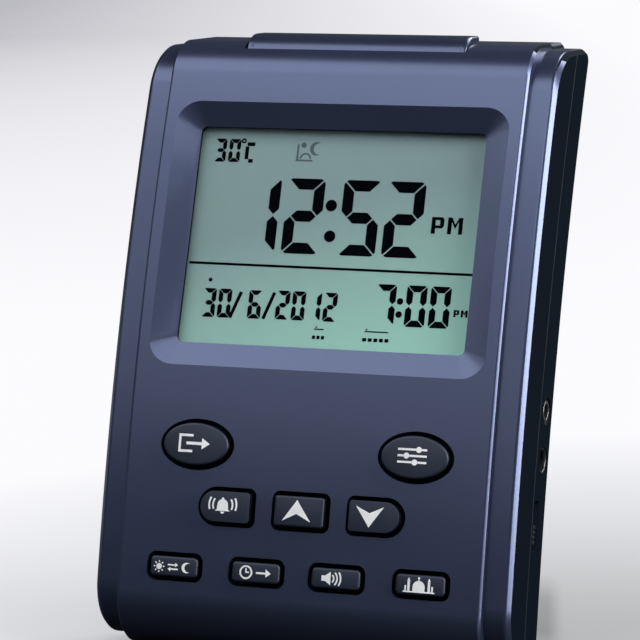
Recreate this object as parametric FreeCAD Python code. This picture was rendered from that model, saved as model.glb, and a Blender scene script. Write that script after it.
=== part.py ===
import FreeCAD, Part
import math
import os
from FreeCAD import Placement, Rotation, Vector

# Desk azan clock: a bowed two-shell case that leans back on a flip-out foot, with a
# liquid crystal display in a sloped bezel, nine sprung keys and a light bar on top.
# Millimetres and degrees. X runs across the face, Y to the back and Z up; the origin
# is on the table, under the middle of the clock. "Up the face" is the length s along
# the bowed face from table level, and "depth" is square to the face, from the raised
# panel inwards.

# Case
case_width = 105.0
panel_width = 91.8
panel_top = 146.4
case_depth = 27.0
face_radius = 593.0
base_lean = 8.75
wall = 2.2
panel_step = 2.0
top_step = 1.4
base_step = 1.6
back_step = 0.6
base_round = 13.0
panel_top_round = 12.0
rail_top_round = 16.0
back_round = 3.0
rail_bevel = 1.3
panel_bevel = 0.6
seam_depth = 15.6
seam_gap = 0.35
lip_height = 1.2
lip_width = 1.0
ledge_height = 1.2
fit_gap = 0.1

# Bezel and display
lcd_s = 104.5
window_width = 73.0
window_height = 53.9
window_corner = 1.5
bezel_margin = 5.95
bezel_depth = 3.0
bezel_corner = 5.5
rim = 0.8
lens_margin = 1.6
lens_thickness = 1.0
glass_width = 77.0
glass_height = 64.0
glass_thickness = 2.8
diffuser_height = 54.6
diffuser_thickness = 2.6
strip_height = 2.2
holder_wall = 1.6
board_thickness = 1.6
led_length, led_depth, led_height, led_spread = 3.0, 1.2, 2.0, 13.0

# Keys: caps stand in open wells, on flanges that bear on the panel's inner side
key_gap = 1.1
key_travel = 0.7
key_proud = 1.0
key_crown_radius = 60.0
flange_margin = 0.9
flange_thickness = 1.0
stem_width = 3.6
stem_length = 1.7
dome_width, dome_height = 5.4, 2.4
rubber_thickness = 1.2
rubber_low, rubber_high = 18.2, 60.6
rubber_gap = 0.7
key_board_s = 40.2
key_board_margin = 0.5
key_board_height = 43.4
key_board_gap = 0.5
oval_s, oval_x = 52.5, 27.6
oval_width, oval_height = 18.9, 12.4
middle_s, middle_x = 38.0, 18.8
middle_width, middle_height, middle_corner = 14.7, 9.5, 1.9
lower_s, lower_inner_x, lower_outer_x = 22.9, 10.1, 31.05
lower_width, lower_height, lower_corner = 14.3, 7.0, 2.2

# Light bar
bar_width = 56.8
bar_front = 44.6
bar_depth = 11.6
bar_proud = 1.8
bar_round = 2.6
bar_end_bevel = 0.7
bar_gap = 0.35
bar_travel = 1.0
bar_skirt = 3.6
bar_tab_width = 1.6
bar_tab_length = 4.0
bar_tab_height = 1.2
bar_tab_back = 1.2
bar_post_width = 3.6
bar_post_x = 18.0
bar_board_drop = 10.2
bar_board_width = 72.0
bar_bracket_width = 4.0
tact_size, tact_height, tact_button_width, tact_button_height = 6.0, 3.4, 3.0, 1.0

# Fasteners
boss_size, boss_inset = 6.4, 3.7
boss_low_s, boss_high_s = 12.5, 140.5
screw_recess_radius, screw_recess_depth = 2.7, 4.0
post_width = 4.0
peg_width = 1.8
peg_proud = 0.6
post_gap = 0.5

# Sockets and switch in the right wall, set out up and down from the socket board's middle
jack_s = 52.5
earphone_up, supply_up, socket_depth = 14.2, 2.5, 21.2
socket_nose_radius, socket_bore_radius, socket_bore_length = 3.0, 1.8, 12.0
supply_bore_radius, supply_pin_radius, supply_bore_length = 2.75, 1.0, 9.5
socket_body = 6.6
socket_length = 13.0
jack_board_depth = 16.0
jack_board_inset, jack_board_width = 2.4, 14.6
jack_board_height = 48.0
jack_post_low, jack_post_high = -8.0, 21.5
switch_up, switch_depth = -13.4, 18.6
slot_length, slot_width = 12.0, 3.2
knob_length, knob_width, knob_foot, knob_sink, knob_travel = 4.6, 2.4, 2.0, 0.3, 4.0
switch_length, switch_height, switch_body_depth = 16.0, 4.4, 4.6

# Back: battery bay, loudspeaker and flip-out foot
cell_radius, cell_length, cell_nub_width, cell_nub = 5.2, 43.7, 3.4, 0.8
cell_pitch = 10.9
cell_count = 3
bay_s = 87.0
bay_wall = 1.4
contact_space = 3.0
contact_thickness = 0.4
contact_width, contact_height, contact_bump = 8.0, 8.4, 3.2
door_thickness = 1.8
door_margin = 2.6
door_gap = 0.25
door_catch_width = 10.0
door_pull = 20.0
speaker_s = 129.0
speaker_radius = 20.0
speaker_flange = 2.6
magnet_radius, magnet_depth = 9.5, 6.4
cone_radius, cone_thickness = 14.4, 0.5
ring_wall, fence_height = 1.2, 3.4
grille_radius = 17.5
grille_slots = 9
grille_pitch = 3.7
grille_slot = 1.7
stand_s = 18.0
stand_axis_depth = 2.2
stand_width, stand_tip_width = 52.0, 44.0
stand_length = 41.0
stand_thickness = 3.0
stand_skin = 1.2
stand_border = 3.5
stand_knuckle = 1.75
stand_pin_radius = 1.0
stand_pin_gap = 0.05
stand_pin_overhang = 2.4
stand_side_gap = 0.4
pocket_gap = 0.5
pocket_wall = 1.4
pad_thickness = 1.2
pad_length = 5.0
pad_sink = 0.4
foot_width, foot_depth, foot_inset = 12.0, 5.4, 9.9
foot_height, foot_sink = 1.0, 0.6
ribbon_width, ribbon_thickness = 18.0, 0.3

rail_top = panel_top - top_step
panel_base = foot_height
rail_base = panel_base + base_step
panel_back = case_depth + back_step
axis_y = face_radius * math.cos(math.radians(base_lean))
axis_z = -face_radius * math.sin(math.radians(base_lean))
far = 400.0
across = Vector(1, 0, 0)
boss_x = case_width / 2 - wall - boss_inset
post_x = glass_width / 2 + fit_gap + holder_wall + post_gap + post_width / 2
rubber_width = 2 * (post_x - post_width / 2 - rubber_gap)
key_board_width = 2 * (post_x + post_width / 2 + key_board_margin)
jack_board_x = case_width / 2 - wall - jack_board_inset - jack_board_width / 2
foot_x = panel_width / 2 - foot_inset


# ---- Places on the bowed face -------------------------------------------------------

def lean_at(s):
    """Lean of the face, in degrees, at the length s up the face."""
    return base_lean + math.degrees(s / face_radius)


def point(s, depth, x=0.0):
    lean = math.radians(lean_at(s))
    radius = face_radius - depth
    return Vector(x, axis_y - radius * math.cos(lean), axis_z + radius * math.sin(lean))


def depth_y(depth, z):
    """Y of the bowed surface at a depth below the face and a height above the table."""
    return axis_y - math.sqrt((face_radius - depth) ** 2 - (z - axis_z) ** 2)


def outward(s):
    """Unit vector out of the face."""
    lean = math.radians(lean_at(s))
    return Vector(0, -math.cos(lean), math.sin(lean))


def carried(shape, place):
    return shape.transformed(place.toMatrix(), True)


def on_face(shape, s, x=0.0, depth=0.0):
    """Carry a shape drawn flat, with Z out of the face, to its place on the face."""
    return carried(shape, Placement(point(s, depth, x), Rotation(across, 90.0 - lean_at(s))))


def on_back(shape, s, x=0.0, depth=panel_back):
    """Carry a shape drawn flat, with Z out of the back, to its place on the back."""
    turn = Rotation(across, 90.0 - lean_at(s)) * Rotation(Vector(0, 1, 0), 180.0)
    return carried(shape, Placement(point(s, depth, x), turn))


def on_jack_board(shape, up=0.0, depth=jack_board_depth):
    """Carry a shape drawn with X out of the right wall, Y up and Z out of the face."""
    shape.translate(Vector(0, up, 0))
    return on_face(shape, jack_s, 0.0, depth)


# ---- Plain shapes -------------------------------------------------------------------

def block(width, height, low, high, x=0.0, y=0.0):
    """A box centred on x, y between two levels."""
    return Part.makeBox(width, height, high - low, Vector(x - width / 2, y - height / 2, low))


def rod(radius, low, high, x=0.0, y=0.0):
    return Part.makeCylinder(radius, high - low, Vector(x, y, low))


def side_rod(radius, low, high):
    """A rod along X between two places."""
    return Part.makeCylinder(radius, high - low, Vector(low, 0, 0), across)


def joined(first, *others):
    return first.fuse(list(others)).removeSplitter()


def outline(width, height, left, right):
    """A closed outline with one corner radius at its left end and one at its right."""
    half_w, half_h = width / 2, height / 2
    corners = ((half_w - right, half_h - right, right, 0), (left - half_w, half_h - left, left, 90),
               (left - half_w, left - half_h, left, 180), (half_w - right, right - half_h, right, 270))
    edges, ends = [], []
    for x, y, radius, start in corners:
        bend = Part.ArcOfCircle(Part.Circle(Vector(x, y, 0), Vector(0, 0, 1), radius),
                                math.radians(start), math.radians(start + 90))
        edges.append(bend.toShape())
        ends.append((bend.StartPoint, bend.EndPoint))
    for number in range(4):
        begin, finish = ends[number][1], ends[(number + 1) % 4][0]
        if begin.distanceToPoint(finish) > 1e-6:
            edges.append(Part.LineSegment(begin, finish).toShape())
    return Part.Wire(Part.__sortEdges__(edges))


def oval(width, height):
    return Part.Wire(Part.Ellipse(Vector(0, 0, 0), width / 2, height / 2).toShape())


def raised(wire, low, high):
    """The solid over a flat outline, between two levels."""
    face = Part.Face(wire)
    face.translate(Vector(0, 0, low))
    return face.extrude(Vector(0, 0, high - low))


def slab(width, front, back, base, top):
    """A bowed block between two depths and two heights, sharp at its four corners."""
    middle = (base + top) / 2
    x = -width / 2

    def bow(depth, first, last):
        spots = [Vector(x, depth_y(depth, z), z) for z in (first, middle, last)]
        return Part.Arc(*spots).toShape()

    rise, fall = bow(front, base, top), bow(back, top, base)
    lid = Part.LineSegment(rise.Vertexes[-1].Point, fall.Vertexes[0].Point).toShape()
    floor = Part.LineSegment(fall.Vertexes[-1].Point, rise.Vertexes[0].Point).toShape()
    return Part.Face(Part.Wire([rise, lid, fall, floor])).extrude(Vector(width, 0, 0))


def rounded_slab(width, front, back, base, top, base_front, top_front, rear):
    """A bowed block with its four long corners rounded."""
    solid = slab(width, front, back, base, top)
    corners = ((front, base, base_front), (front, top, top_front), (back, top, rear), (back, base, rear))
    for depth, height, radius in corners:
        spot = Vector(0, depth_y(depth, height), height)
        edges = [edge for edge in solid.Edges
                 if all(abs(end.Y - spot.y) + abs(end.Z - spot.z) < 1e-3 for end in edge.Vertexes)]
        solid = solid.makeFillet(radius, edges)
    return solid


def bevelled(solid, width, size):
    """Bevel the edges round both flat ends of a bowed block."""
    edges = [edge for edge in solid.Edges
             if all(abs(abs(end.X) - width / 2) < 1e-3 for end in edge.Vertexes)
             and abs(edge.Vertexes[0].X - edge.Vertexes[-1].X) < 1e-3]
    return solid.makeChamfer(size, edges)


def band(width, front, back, low, high):
    """A bowed strip between two depths and two lengths up the face."""
    x = -width / 2

    def bow(depth, first, last):
        spots = [point(s, depth, x) for s in (first, (first + last) / 2, last)]
        return Part.Arc(*spots).toShape()

    rise, fall = bow(front, low, high), bow(back, high, low)
    lid = Part.LineSegment(rise.Vertexes[-1].Point, fall.Vertexes[0].Point).toShape()
    floor = Part.LineSegment(fall.Vertexes[-1].Point, rise.Vertexes[0].Point).toShape()
    return Part.Face(Part.Wire([rise, lid, fall, floor])).extrude(Vector(width, 0, 0))


# ---- The case as one closed form ----------------------------------------------------

def case_form(inset=0.0):
    """The outer form of the case, or the same form drawn in by an inset."""
    rails = rounded_slab(case_width - 2 * inset, panel_step + inset, case_depth - inset,
                         rail_base + inset, rail_top - inset, base_round - inset,
                         rail_top_round - inset, back_round - min(inset, back_round - 0.5))
    panel = rounded_slab(panel_width - 2 * inset, inset, panel_back - inset,
                         panel_base + inset, panel_top - inset, base_round - inset,
                         panel_top_round - inset, back_round - min(inset, back_round - 0.5))
    if inset == 0.0:
        rails = bevelled(rails, case_width, rail_bevel)
        panel = bevelled(panel, panel_width, panel_bevel)
    return joined(rails, panel)


def front_region(depth=seam_depth):
    """All that lies in front of a depth."""
    return slab(far, -20.0, depth, -10.0, panel_top + 20.0)


def ring(outer_inset, inner_inset, front, back):
    """A ring that follows the wall, between two insets and two depths."""
    hoop = case_form(outer_inset).cut(case_form(inner_inset))
    return hoop.common(front_region(back)).cut(front_region(front))


# ---- Bezel --------------------------------------------------------------------------

def bezel_cutter():
    """The sloped recess round the display, wider where the face bows away."""
    lift = 0.3
    half_w, half_h = window_width / 2, window_height / 2
    reach = half_h + bezel_margin
    end_depth = bezel_depth - reach ** 2 / (2 * face_radius)
    top_h = half_h + bezel_margin * (bezel_depth + lift) / end_depth
    radius = window_corner + (bezel_corner - window_corner) * (bezel_depth + lift) / end_depth

    def side(y):
        return half_w + bezel_margin * (bezel_depth + lift) / (bezel_depth - y ** 2 / (2 * face_radius))

    def loop(level, width_at, height, corner):
        edge_w = width_at(height - corner)
        edges = []
        for x_sign, y_sign, start in ((1, 1, 0), (-1, 1, 90), (-1, -1, 180), (1, -1, 270)):
            centre = Vector(x_sign * (edge_w - corner), y_sign * (height - corner), level)
            bend = Part.ArcOfCircle(Part.Circle(centre, Vector(0, 0, 1), corner),
                                    math.radians(start), math.radians(start + 90))
            edges.append(bend)
        wires = []
        for number, bend in enumerate(edges):
            following = edges[(number + 1) % 4]
            begin, finish = bend.EndPoint, following.StartPoint
            wires.append(bend.toShape())
            if number % 2:
                sign = -1 if number == 1 else 1
                middle = Vector(sign * width_at(0.0), 0, level)
                wires.append(Part.Arc(begin, middle, finish).toShape() if abs(begin.x - middle.x) > 1e-6
                             else Part.LineSegment(begin, finish).toShape())
            else:
                wires.append(Part.LineSegment(begin, finish).toShape())
        return Part.Wire(wires)

    lower = loop(-bezel_depth, lambda y: half_w, half_h, window_corner)
    upper = loop(lift, side, top_h, radius)
    return Part.makeLoft([lower, upper], True, True)


def bezel_frame():
    """The thick wall round the bezel, with the lens seat and the window cut in it."""
    margin = 2 * (bezel_margin + holder_wall)
    frame = block(window_width + margin, window_height + margin, -bezel_depth - rim - lens_thickness - fit_gap, 2.0)
    return frame


def window_cutters():
    through = raised(outline(window_width, window_height, window_corner, window_corner), -20.0, 0.0)
    seat = raised(outline(window_width + 2 * lens_margin, window_height + 2 * lens_margin,
                          window_corner, window_corner), -20.0, -bezel_depth - rim)
    return [bezel_cutter(), through, seat]


# ---- Keys ---------------------------------------------------------------------------

def key_table():
    """Each key's name, place up the face and across it, and its well's outline."""
    pill = middle_height / 2
    round_end = {-1: (pill, middle_corner), 0: (middle_corner, middle_corner), 1: (middle_corner, pill)}
    keys = [("key_exit", oval_s, -oval_x, ("oval", oval_width, oval_height)),
            ("key_set", oval_s, oval_x, ("oval", oval_width, oval_height))]
    for side, name in ((-1, "key_alarm"), (0, "key_up"), (1, "key_down")):
        keys.append((name, middle_s, side * middle_x,
                     ("bar", middle_width, middle_height) + round_end[side]))
    row = (("key_calendar", -lower_outer_x), ("key_delay", -lower_inner_x),
           ("key_sound", lower_inner_x), ("key_azan", lower_outer_x))
    for name, x in row:
        keys.append((name, lower_s, x, ("bar", lower_width, lower_height, lower_corner, lower_corner)))
    return keys


def key_outline(form, grow=0.0):
    """A well's outline, or the same outline grown or shrunk all round."""
    if form[0] == "oval":
        return oval(form[1] + 2 * grow, form[2] + 2 * grow)
    return outline(form[1] + 2 * grow, form[2] + 2 * grow, form[3] + grow, form[4] + grow)


flange_top = -wall - fit_gap
flange_base = flange_top - flange_thickness
stem_base = flange_base - stem_length
dome_top = stem_base - key_travel - fit_gap
web_front = -dome_top + dome_height
web_back = web_front + rubber_thickness


def key_solid(form):
    """A key: cap crowned across the face, flange under the panel and square stem."""
    high = key_proud + 1.0
    crown = Part.makeCylinder(key_crown_radius, 2 * far / 10, Vector(0, -far / 10, key_proud - key_crown_radius),
                              Vector(0, 1, 0))
    cap = raised(key_outline(form, -key_gap), flange_base, high).common(crown)
    flange = block(form[1] + 2 * flange_margin, form[2] + 2 * flange_margin, flange_base, flange_top)
    return joined(cap, flange, block(stem_width, stem_width, stem_base, flange_base))


def key_well(form):
    return raised(key_outline(form), -wall - 4.0, 2.0)


def rubber_keypad():
    web = band(rubber_width, web_front, web_back, rubber_low, rubber_high)
    domes = [on_face(block(dome_width, dome_width, -web_front - 0.4, -web_front + dome_height), s, x)
             for name, s, x, form in key_table()]
    return joined(web, *domes)


# ---- Boards and the display stack ---------------------------------------------------

glass_front = -bezel_depth - rim - lens_thickness - 2 * fit_gap
glass_back = glass_front - glass_thickness
diffuser_back = glass_back - fit_gap - diffuser_thickness
board_front = diffuser_back - fit_gap
board_back = board_front - board_thickness
main_board_low, main_board_high = -31.8, 23.6
key_board_front = -web_back - key_board_gap
key_board_back = key_board_front - board_thickness


def display_window():
    lens = raised(outline(window_width + 2 * lens_margin - 2 * fit_gap,
                          window_height + 2 * lens_margin - 2 * fit_gap, window_corner, window_corner),
                  -bezel_depth - rim - lens_thickness, -bezel_depth - rim)
    return on_face(lens, lcd_s)


def lcd_glass():
    return on_face(block(glass_width, glass_height, glass_back, glass_front), lcd_s)


def backlight_diffuser():
    width = glass_width - 2 * (led_depth + fit_gap)
    sheet = block(width, diffuser_height, diffuser_back, glass_back - fit_gap)
    return on_face(sheet, lcd_s)


def elastomer_strips():
    y = (glass_height - strip_height) / 2
    strips = [block(glass_width - 6.0, strip_height, board_front, glass_back, 0.0, side * y) for side in (-1, 1)]
    return on_face(Part.makeCompound(strips), lcd_s)


def lcd_holder():
    """The frame that squares up glass, diffuser and strips on the main board."""
    inner_w, inner_h = glass_width + 2 * fit_gap, glass_height + 2 * fit_gap
    outer = block(inner_w + 2 * holder_wall, inner_h + 2 * holder_wall, board_front, glass_front)
    hole = block(inner_w, inner_h, board_front - 1.0, glass_front + 1.0)
    return on_face(outer.cut(hole), lcd_s)


def main_board():
    low, high = main_board_low, main_board_high
    width = 2 * post_x + post_width
    board = block(width, high - low, board_back, board_front, 0.0, (low + high) / 2)
    tongue_h = glass_height / 2 + holder_wall - low
    tongue = block(glass_width + 2 * holder_wall, tongue_h, board_back, board_front, 0.0, low + tongue_h / 2)
    return on_face(joined(board, tongue).cut(peg_holes(main_posts(), board_back)), lcd_s)


def peg_holes(places, level):
    """Square holes through a board, for the pegs that hold it."""
    size = peg_width + 2 * fit_gap
    return [block(size, size, level - 1.0, level + board_thickness + 1.0, x, y) for x, y in places]


def pegged_posts(places, level):
    """Posts down to a board's front, each with a square peg through the board."""
    posts = []
    for x, y in places:
        post = block(post_width, post_width, level, -wall / 2, x, y)
        peg = block(peg_width, peg_width, level - board_thickness - peg_proud, level + 0.5, x, y)
        posts += [post, peg]
    return posts


def main_posts():
    return [(x, y) for x in (-post_x, post_x) for y in (-20.5, 19.0)]


def key_posts():
    return [(x, y) for x in (-post_x, post_x) for y in (-17.6, 17.6)]


def backlight_leds():
    """Side lamps on the main board, at both ends of the diffuser."""
    x = (glass_width - led_depth) / 2
    lamps = [block(led_depth, led_length, board_front, board_front + led_height, side * x, y)
             for side in (-1, 1) for y in (-led_spread, led_spread)]
    return on_face(Part.makeCompound(lamps), lcd_s)


def keypad_board():
    board = block(key_board_width, key_board_height, key_board_back, key_board_front)
    return on_face(board.cut(peg_holes(key_posts(), key_board_back)), key_board_s)


def ribbon():
    """The flat lead from the keypad board's top edge to the main board's lower edge."""
    start = point(key_board_s + key_board_height / 2 - 2.0, -key_board_back)
    finish = point(lcd_s + main_board_low + 2.0, -board_back)
    run = finish - start
    flat = Part.makeBox(ribbon_width, run.Length, ribbon_thickness, Vector(-ribbon_width / 2, 0, -ribbon_thickness))
    lean = math.degrees(math.atan2(run.z, run.y))
    return carried(flat, Placement(start, Rotation(across, lean)))


# ---- Light bar ----------------------------------------------------------------------

bar_middle = bar_front + bar_depth / 2
bar_top = panel_top + bar_proud
under_top = panel_top - wall
bar_bracket_x = (bar_board_width - bar_bracket_width) / 2


def bar_board_top():
    return panel_top - bar_board_drop


def light_bar():
    """The long key on top: rounded cap, hollow below, with end tabs and two posts."""
    low = under_top - bar_skirt
    cap = Part.makeBox(bar_width, bar_depth, bar_top - low, Vector(-bar_width / 2, bar_front, low))
    long_edges = [edge for edge in cap.Edges
                  if edge.BoundBox.ZMin > bar_top - 1e-3 and edge.BoundBox.YMax < bar_front + 1e-3]
    cap = cap.makeFillet(bar_round, long_edges)
    end_edges = [edge for edge in cap.Edges
                 if edge.BoundBox.ZMin > low + 1e-3 and edge.BoundBox.XLength < 1e-3
                 and abs(abs(edge.CenterOfMass.x) - bar_width / 2) < 1e-3]
    cap = cap.makeChamfer(bar_end_bevel, end_edges)
    hollow = Part.makeBox(bar_width - 2 * holder_wall, bar_depth - 2 * holder_wall, bar_top - low - holder_wall - 1.0,
                          Vector(holder_wall - bar_width / 2, bar_front + holder_wall, low - 1.0))
    tabs = [Part.makeBox(bar_tab_width + 1.0, bar_tab_length, bar_tab_height,
                         Vector(x, bar_middle + bar_tab_back, under_top - fit_gap - bar_tab_height))
            for x in (-bar_width / 2 - bar_tab_width, bar_width / 2 - 1.0)]
    button_top = bar_board_top() + tact_height + tact_button_height
    posts = [block(bar_post_width, bar_post_width, button_top + bar_travel + fit_gap, bar_top - holder_wall / 2,
                   x, bar_middle) for x in (-bar_post_x, bar_post_x)]
    return joined(cap.cut(hollow), *(tabs + posts))


def bar_opening():
    return Part.makeBox(bar_width + 2 * bar_gap, bar_depth + 2 * bar_gap, far / 4,
                        Vector(-bar_width / 2 - bar_gap, bar_front - bar_gap, bar_board_top() + 2.0))


def bar_brackets():
    """The two hangers under the panel's top that carry the light bar's board, and their pegs."""
    level, middle = bar_board_top(), bar_front + 2.0 + (bar_depth - 2.0) / 2
    hangers = []
    for side in (-1, 1):
        hangers.append(block(bar_bracket_width, bar_depth - 2.0, level, under_top + 1.0, side * bar_bracket_x, middle))
        hangers.append(block(peg_width, peg_width, level - board_thickness - peg_proud, level + 0.5,
                             side * bar_bracket_x, bar_middle))
    return hangers


def bar_board():
    lower = bar_board_top() - board_thickness
    board = Part.makeBox(bar_board_width, bar_depth - 2.0, board_thickness,
                         Vector(-bar_board_width / 2, bar_front + 2.0, lower))
    return board.cut(peg_holes([(side * bar_bracket_x, bar_middle) for side in (-1, 1)], lower))


def bar_switches():
    level = bar_board_top()
    switches = [joined(block(tact_size, tact_size, level, level + tact_height, x, bar_middle),
                       block(tact_button_width, tact_button_width, level, level + tact_height + tact_button_height,
                             x, bar_middle))
                for x in (-bar_post_x, bar_post_x)]
    return Part.makeCompound(switches)


# ---- Front housing ------------------------------------------------------------------

def boss_places():
    return [(x, s) for x in (-boss_x, boss_x) for s in (boss_low_s, boss_high_s)]


def front_housing():
    shell = case_form().common(front_region()).cut(case_form(wall))
    room = case_form(wall / 2)
    inner = [on_face(bezel_frame(), lcd_s)]
    inner += [on_face(block(boss_size, boss_size, -seam_depth, -panel_step), s, x) for x, s in boss_places()]
    inner += [on_face(piece, lcd_s) for piece in pegged_posts(main_posts(), board_front)]
    inner += [on_face(piece, key_board_s) for piece in pegged_posts(key_posts(), key_board_front)]
    inner += bar_brackets()
    solid = shell.fuse([piece.common(room) for piece in inner])
    cutters = [on_face(cutter, lcd_s) for cutter in window_cutters()]
    cutters += [on_face(key_well(form), s, x) for name, s, x, form in key_table()]
    cutters.append(bar_opening())
    cutters.append(ring(-1.0, seam_gap, seam_depth - seam_gap, seam_depth + 1.0))
    return solid.cut(cutters).removeSplitter()


# ---- Rear housing -------------------------------------------------------------------

jack_post_x = jack_board_x - (jack_board_width - post_width) / 2
bay_width = cell_length + 2 * contact_space
bay_height = cell_count * cell_pitch + 0.6
bay_depth = 2 * cell_radius + 0.5
door_width = bay_width + 2 * door_margin
door_height = bay_height + 2 * door_margin
pocket_s_low = stand_s
stand_pin_length = stand_width + 2 * (stand_side_gap + stand_pin_overhang)
pad_middle = stand_length - pad_length / 2 - 1.0
pad_width = stand_tip_width - 2 * stand_border


def jack_posts():
    return [(jack_post_x, y) for y in (jack_post_low, jack_post_high)]


def rear_lip():
    """The lip that enters the front housing, with the ledge that carries it."""
    outer = wall + fit_gap
    lip = ring(outer, outer + lip_width, seam_depth - lip_height, seam_depth + ledge_height / 2)
    lip = lip.fuse(ring(wall / 2, outer + lip_width, seam_depth, seam_depth + ledge_height))
    size = boss_size + 0.6
    gaps = [on_face(block(size, size, -seam_depth - ledge_height / 2, -seam_depth + 2 * lip_height), s, x)
            for x, s in boss_places()]
    gaps.append(on_jack_board(block(4.0, jack_board_height, -3.0, 3.0, case_width / 2 - wall - 2.0)))
    return lip.cut(gaps)


def stand_frame(shape):
    """Carry a shape drawn about the foot's hinge, X across, Y up the back, Z out of it."""
    return on_back(shape, stand_s, 0.0, panel_back - stand_axis_depth)


def pocket_box(grow):
    """The pocket that the folded foot lies in, or its walls with a grow."""
    low = -stand_knuckle - pocket_gap / 2
    high = stand_length + pocket_gap + pad_thickness
    width = stand_width + 2 * stand_side_gap
    floor = -stand_knuckle - pocket_gap / 2
    top = stand_axis_depth + 2.0 if grow == 0.0 else stand_axis_depth - back_step - 0.3
    side_wall = grow and stand_pin_overhang + 0.6
    return Part.makeBox(width + 2 * side_wall, high - low + 2 * grow, top - floor + grow,
                        Vector(-width / 2 - side_wall, low - grow, floor - grow))


def bay_box(grow):
    """The battery bay, or its walls with a grow, out of the back."""
    top = -door_thickness + (0.5 if grow == 0.0 else 0.0)
    base = -door_thickness - bay_depth - grow
    return block(bay_width + 2 * grow, bay_height + 2 * grow, base, top)


def grille_cutters():
    """Slots whose lengths fill a circle."""
    slots = []
    for number in range(grille_slots):
        y = (number - (grille_slots - 1) / 2) * grille_pitch
        half = math.sqrt(grille_radius ** 2 - y ** 2)
        slots.append(on_back(block(2 * half, grille_slot, -wall - 2.0, 2.0, 0.0, y), speaker_s))
    return slots


def speaker_fence():
    """The four walls that locate the loudspeaker behind the grille, on a level seat."""
    side = 2 * (speaker_radius + fit_gap)
    walls = block(side + 2 * ring_wall, side + 2 * ring_wall, -wall - fence_height, -wall + 0.6)
    return walls.cut(block(side, side, -wall - fence_height - 1.0, -wall))


def door_seat():
    """The rebate in the back that the battery door fills."""
    half = door_height / 2 * face_radius / (face_radius - case_depth)
    return band(door_width, panel_back - door_thickness, panel_back + 3.0, bay_s - half, bay_s + half)


def rear_housing():
    shell = case_form().cut(front_region()).cut(case_form(wall))
    body_room = case_form(wall / 2)
    ribs = [stand_frame(pocket_box(pocket_wall)), on_back(bay_box(bay_wall), bay_s)]
    ribs.append(on_back(speaker_fence(), speaker_s))
    ribs += [on_face(block(boss_size, boss_size, -panel_back, -seam_depth), s, x) for x, s in boss_places()]
    for x, y in jack_posts():
        post = block(post_width, post_width, jack_board_depth - case_depth, 0.0, x)
        peg = block(peg_width, peg_width, -0.5, board_thickness + peg_proud, x)
        ribs += [on_jack_board(post, y), on_jack_board(peg, y)]
    solid = shell.fuse([rear_lip()] + [rib.common(body_room) for rib in ribs])
    cutters = [stand_frame(pocket_box(0.0)), on_back(bay_box(0.0), bay_s), door_seat()]
    cutters.append(stand_frame(side_rod(stand_pin_radius + 0.02, -stand_pin_length / 2 - 0.1,
                                        stand_pin_length / 2 + 0.1)))
    cutters += grille_cutters()
    for x, s in boss_places():
        cutters.append(on_face(rod(screw_recess_radius, -far / 4, -panel_back + screw_recess_depth), s, x))
    cutters += [on_jack_board(side_rod(socket_nose_radius + fit_gap, case_width / 2 - wall - 1.0, case_width), up,
                              socket_depth) for up in (earphone_up, supply_up)]
    cutters.append(switch_slot())
    cutters += [foot_pocket(side) for side in (-1, 1)]
    return solid.cut(cutters).removeSplitter()


def switch_slot():
    hole = raised(outline(slot_length, slot_width, 0.6, 0.6), -wall - 2.0, 4.0)
    turn = Rotation(Vector(0, 1, 0), 90.0) * Rotation(Vector(0, 0, 1), 90.0)
    hole = carried(hole, Placement(Vector(case_width / 2, 0, 0), turn))
    return on_jack_board(hole, switch_up, switch_depth)


# ---- Feet under the base ------------------------------------------------------------

def foot_middle():
    return (depth_y(seam_depth, panel_base) + depth_y(panel_back, panel_base) - back_round) / 2


def foot_pocket(side):
    return block(foot_width, foot_depth, panel_base - 1.0, panel_base + foot_sink, side * foot_x, foot_middle())


def base_feet():
    feet = []
    for side in (-1, 1):
        pad = block(foot_width - 2 * fit_gap, foot_depth - 2 * fit_gap, 0.0, panel_base + foot_sink,
                    side * foot_x, foot_middle())
        feet.append(pad)
    return Part.makeCompound(feet)


# ---- Sockets and slide switch in the right wall -------------------------------------

def socket_solid(up, bore_radius, bore_length, pin_radius):
    """A socket: square body on the board, round nose in the wall, bore from outside."""
    nose_end = case_width / 2 - 0.4
    body_end = case_width / 2 - wall - fit_gap
    inner = body_end - socket_length
    body = Part.makeBox(socket_length, socket_body, socket_depth - jack_board_depth + socket_body / 2,
                        Vector(inner, -socket_body / 2, -socket_body / 2))
    socket = joined(body, side_rod(socket_nose_radius, body_end - 1.0, nose_end))
    socket = socket.cut(side_rod(bore_radius, nose_end - bore_length, nose_end + 1.0))
    if pin_radius:
        socket = joined(socket, side_rod(pin_radius, nose_end - bore_length - 0.5, nose_end - 1.0))
    return on_jack_board(socket, up, socket_depth)


def jack_board():
    board = block(jack_board_width, jack_board_height, 0.0, board_thickness, jack_board_x)
    return on_jack_board(board.cut(peg_holes(jack_posts(), 0.0)))


def slide_switch():
    """The switch body behind the slot, open where its knob's foot slides."""
    end = case_width / 2 - wall - fit_gap
    room = knob_length + knob_travel + 0.4
    body = Part.makeBox(switch_body_depth, switch_length, switch_height / 2 + switch_depth - jack_board_depth,
                        Vector(end - switch_body_depth, -switch_length / 2, -switch_height / 2))
    well = Part.makeBox(knob_foot + 0.4, room, knob_width + 0.4, Vector(end - knob_foot - 0.2, -room / 2,
                                                                     -knob_width / 2 - 0.2))
    return on_jack_board(body.cut(well), switch_up, switch_depth)


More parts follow.
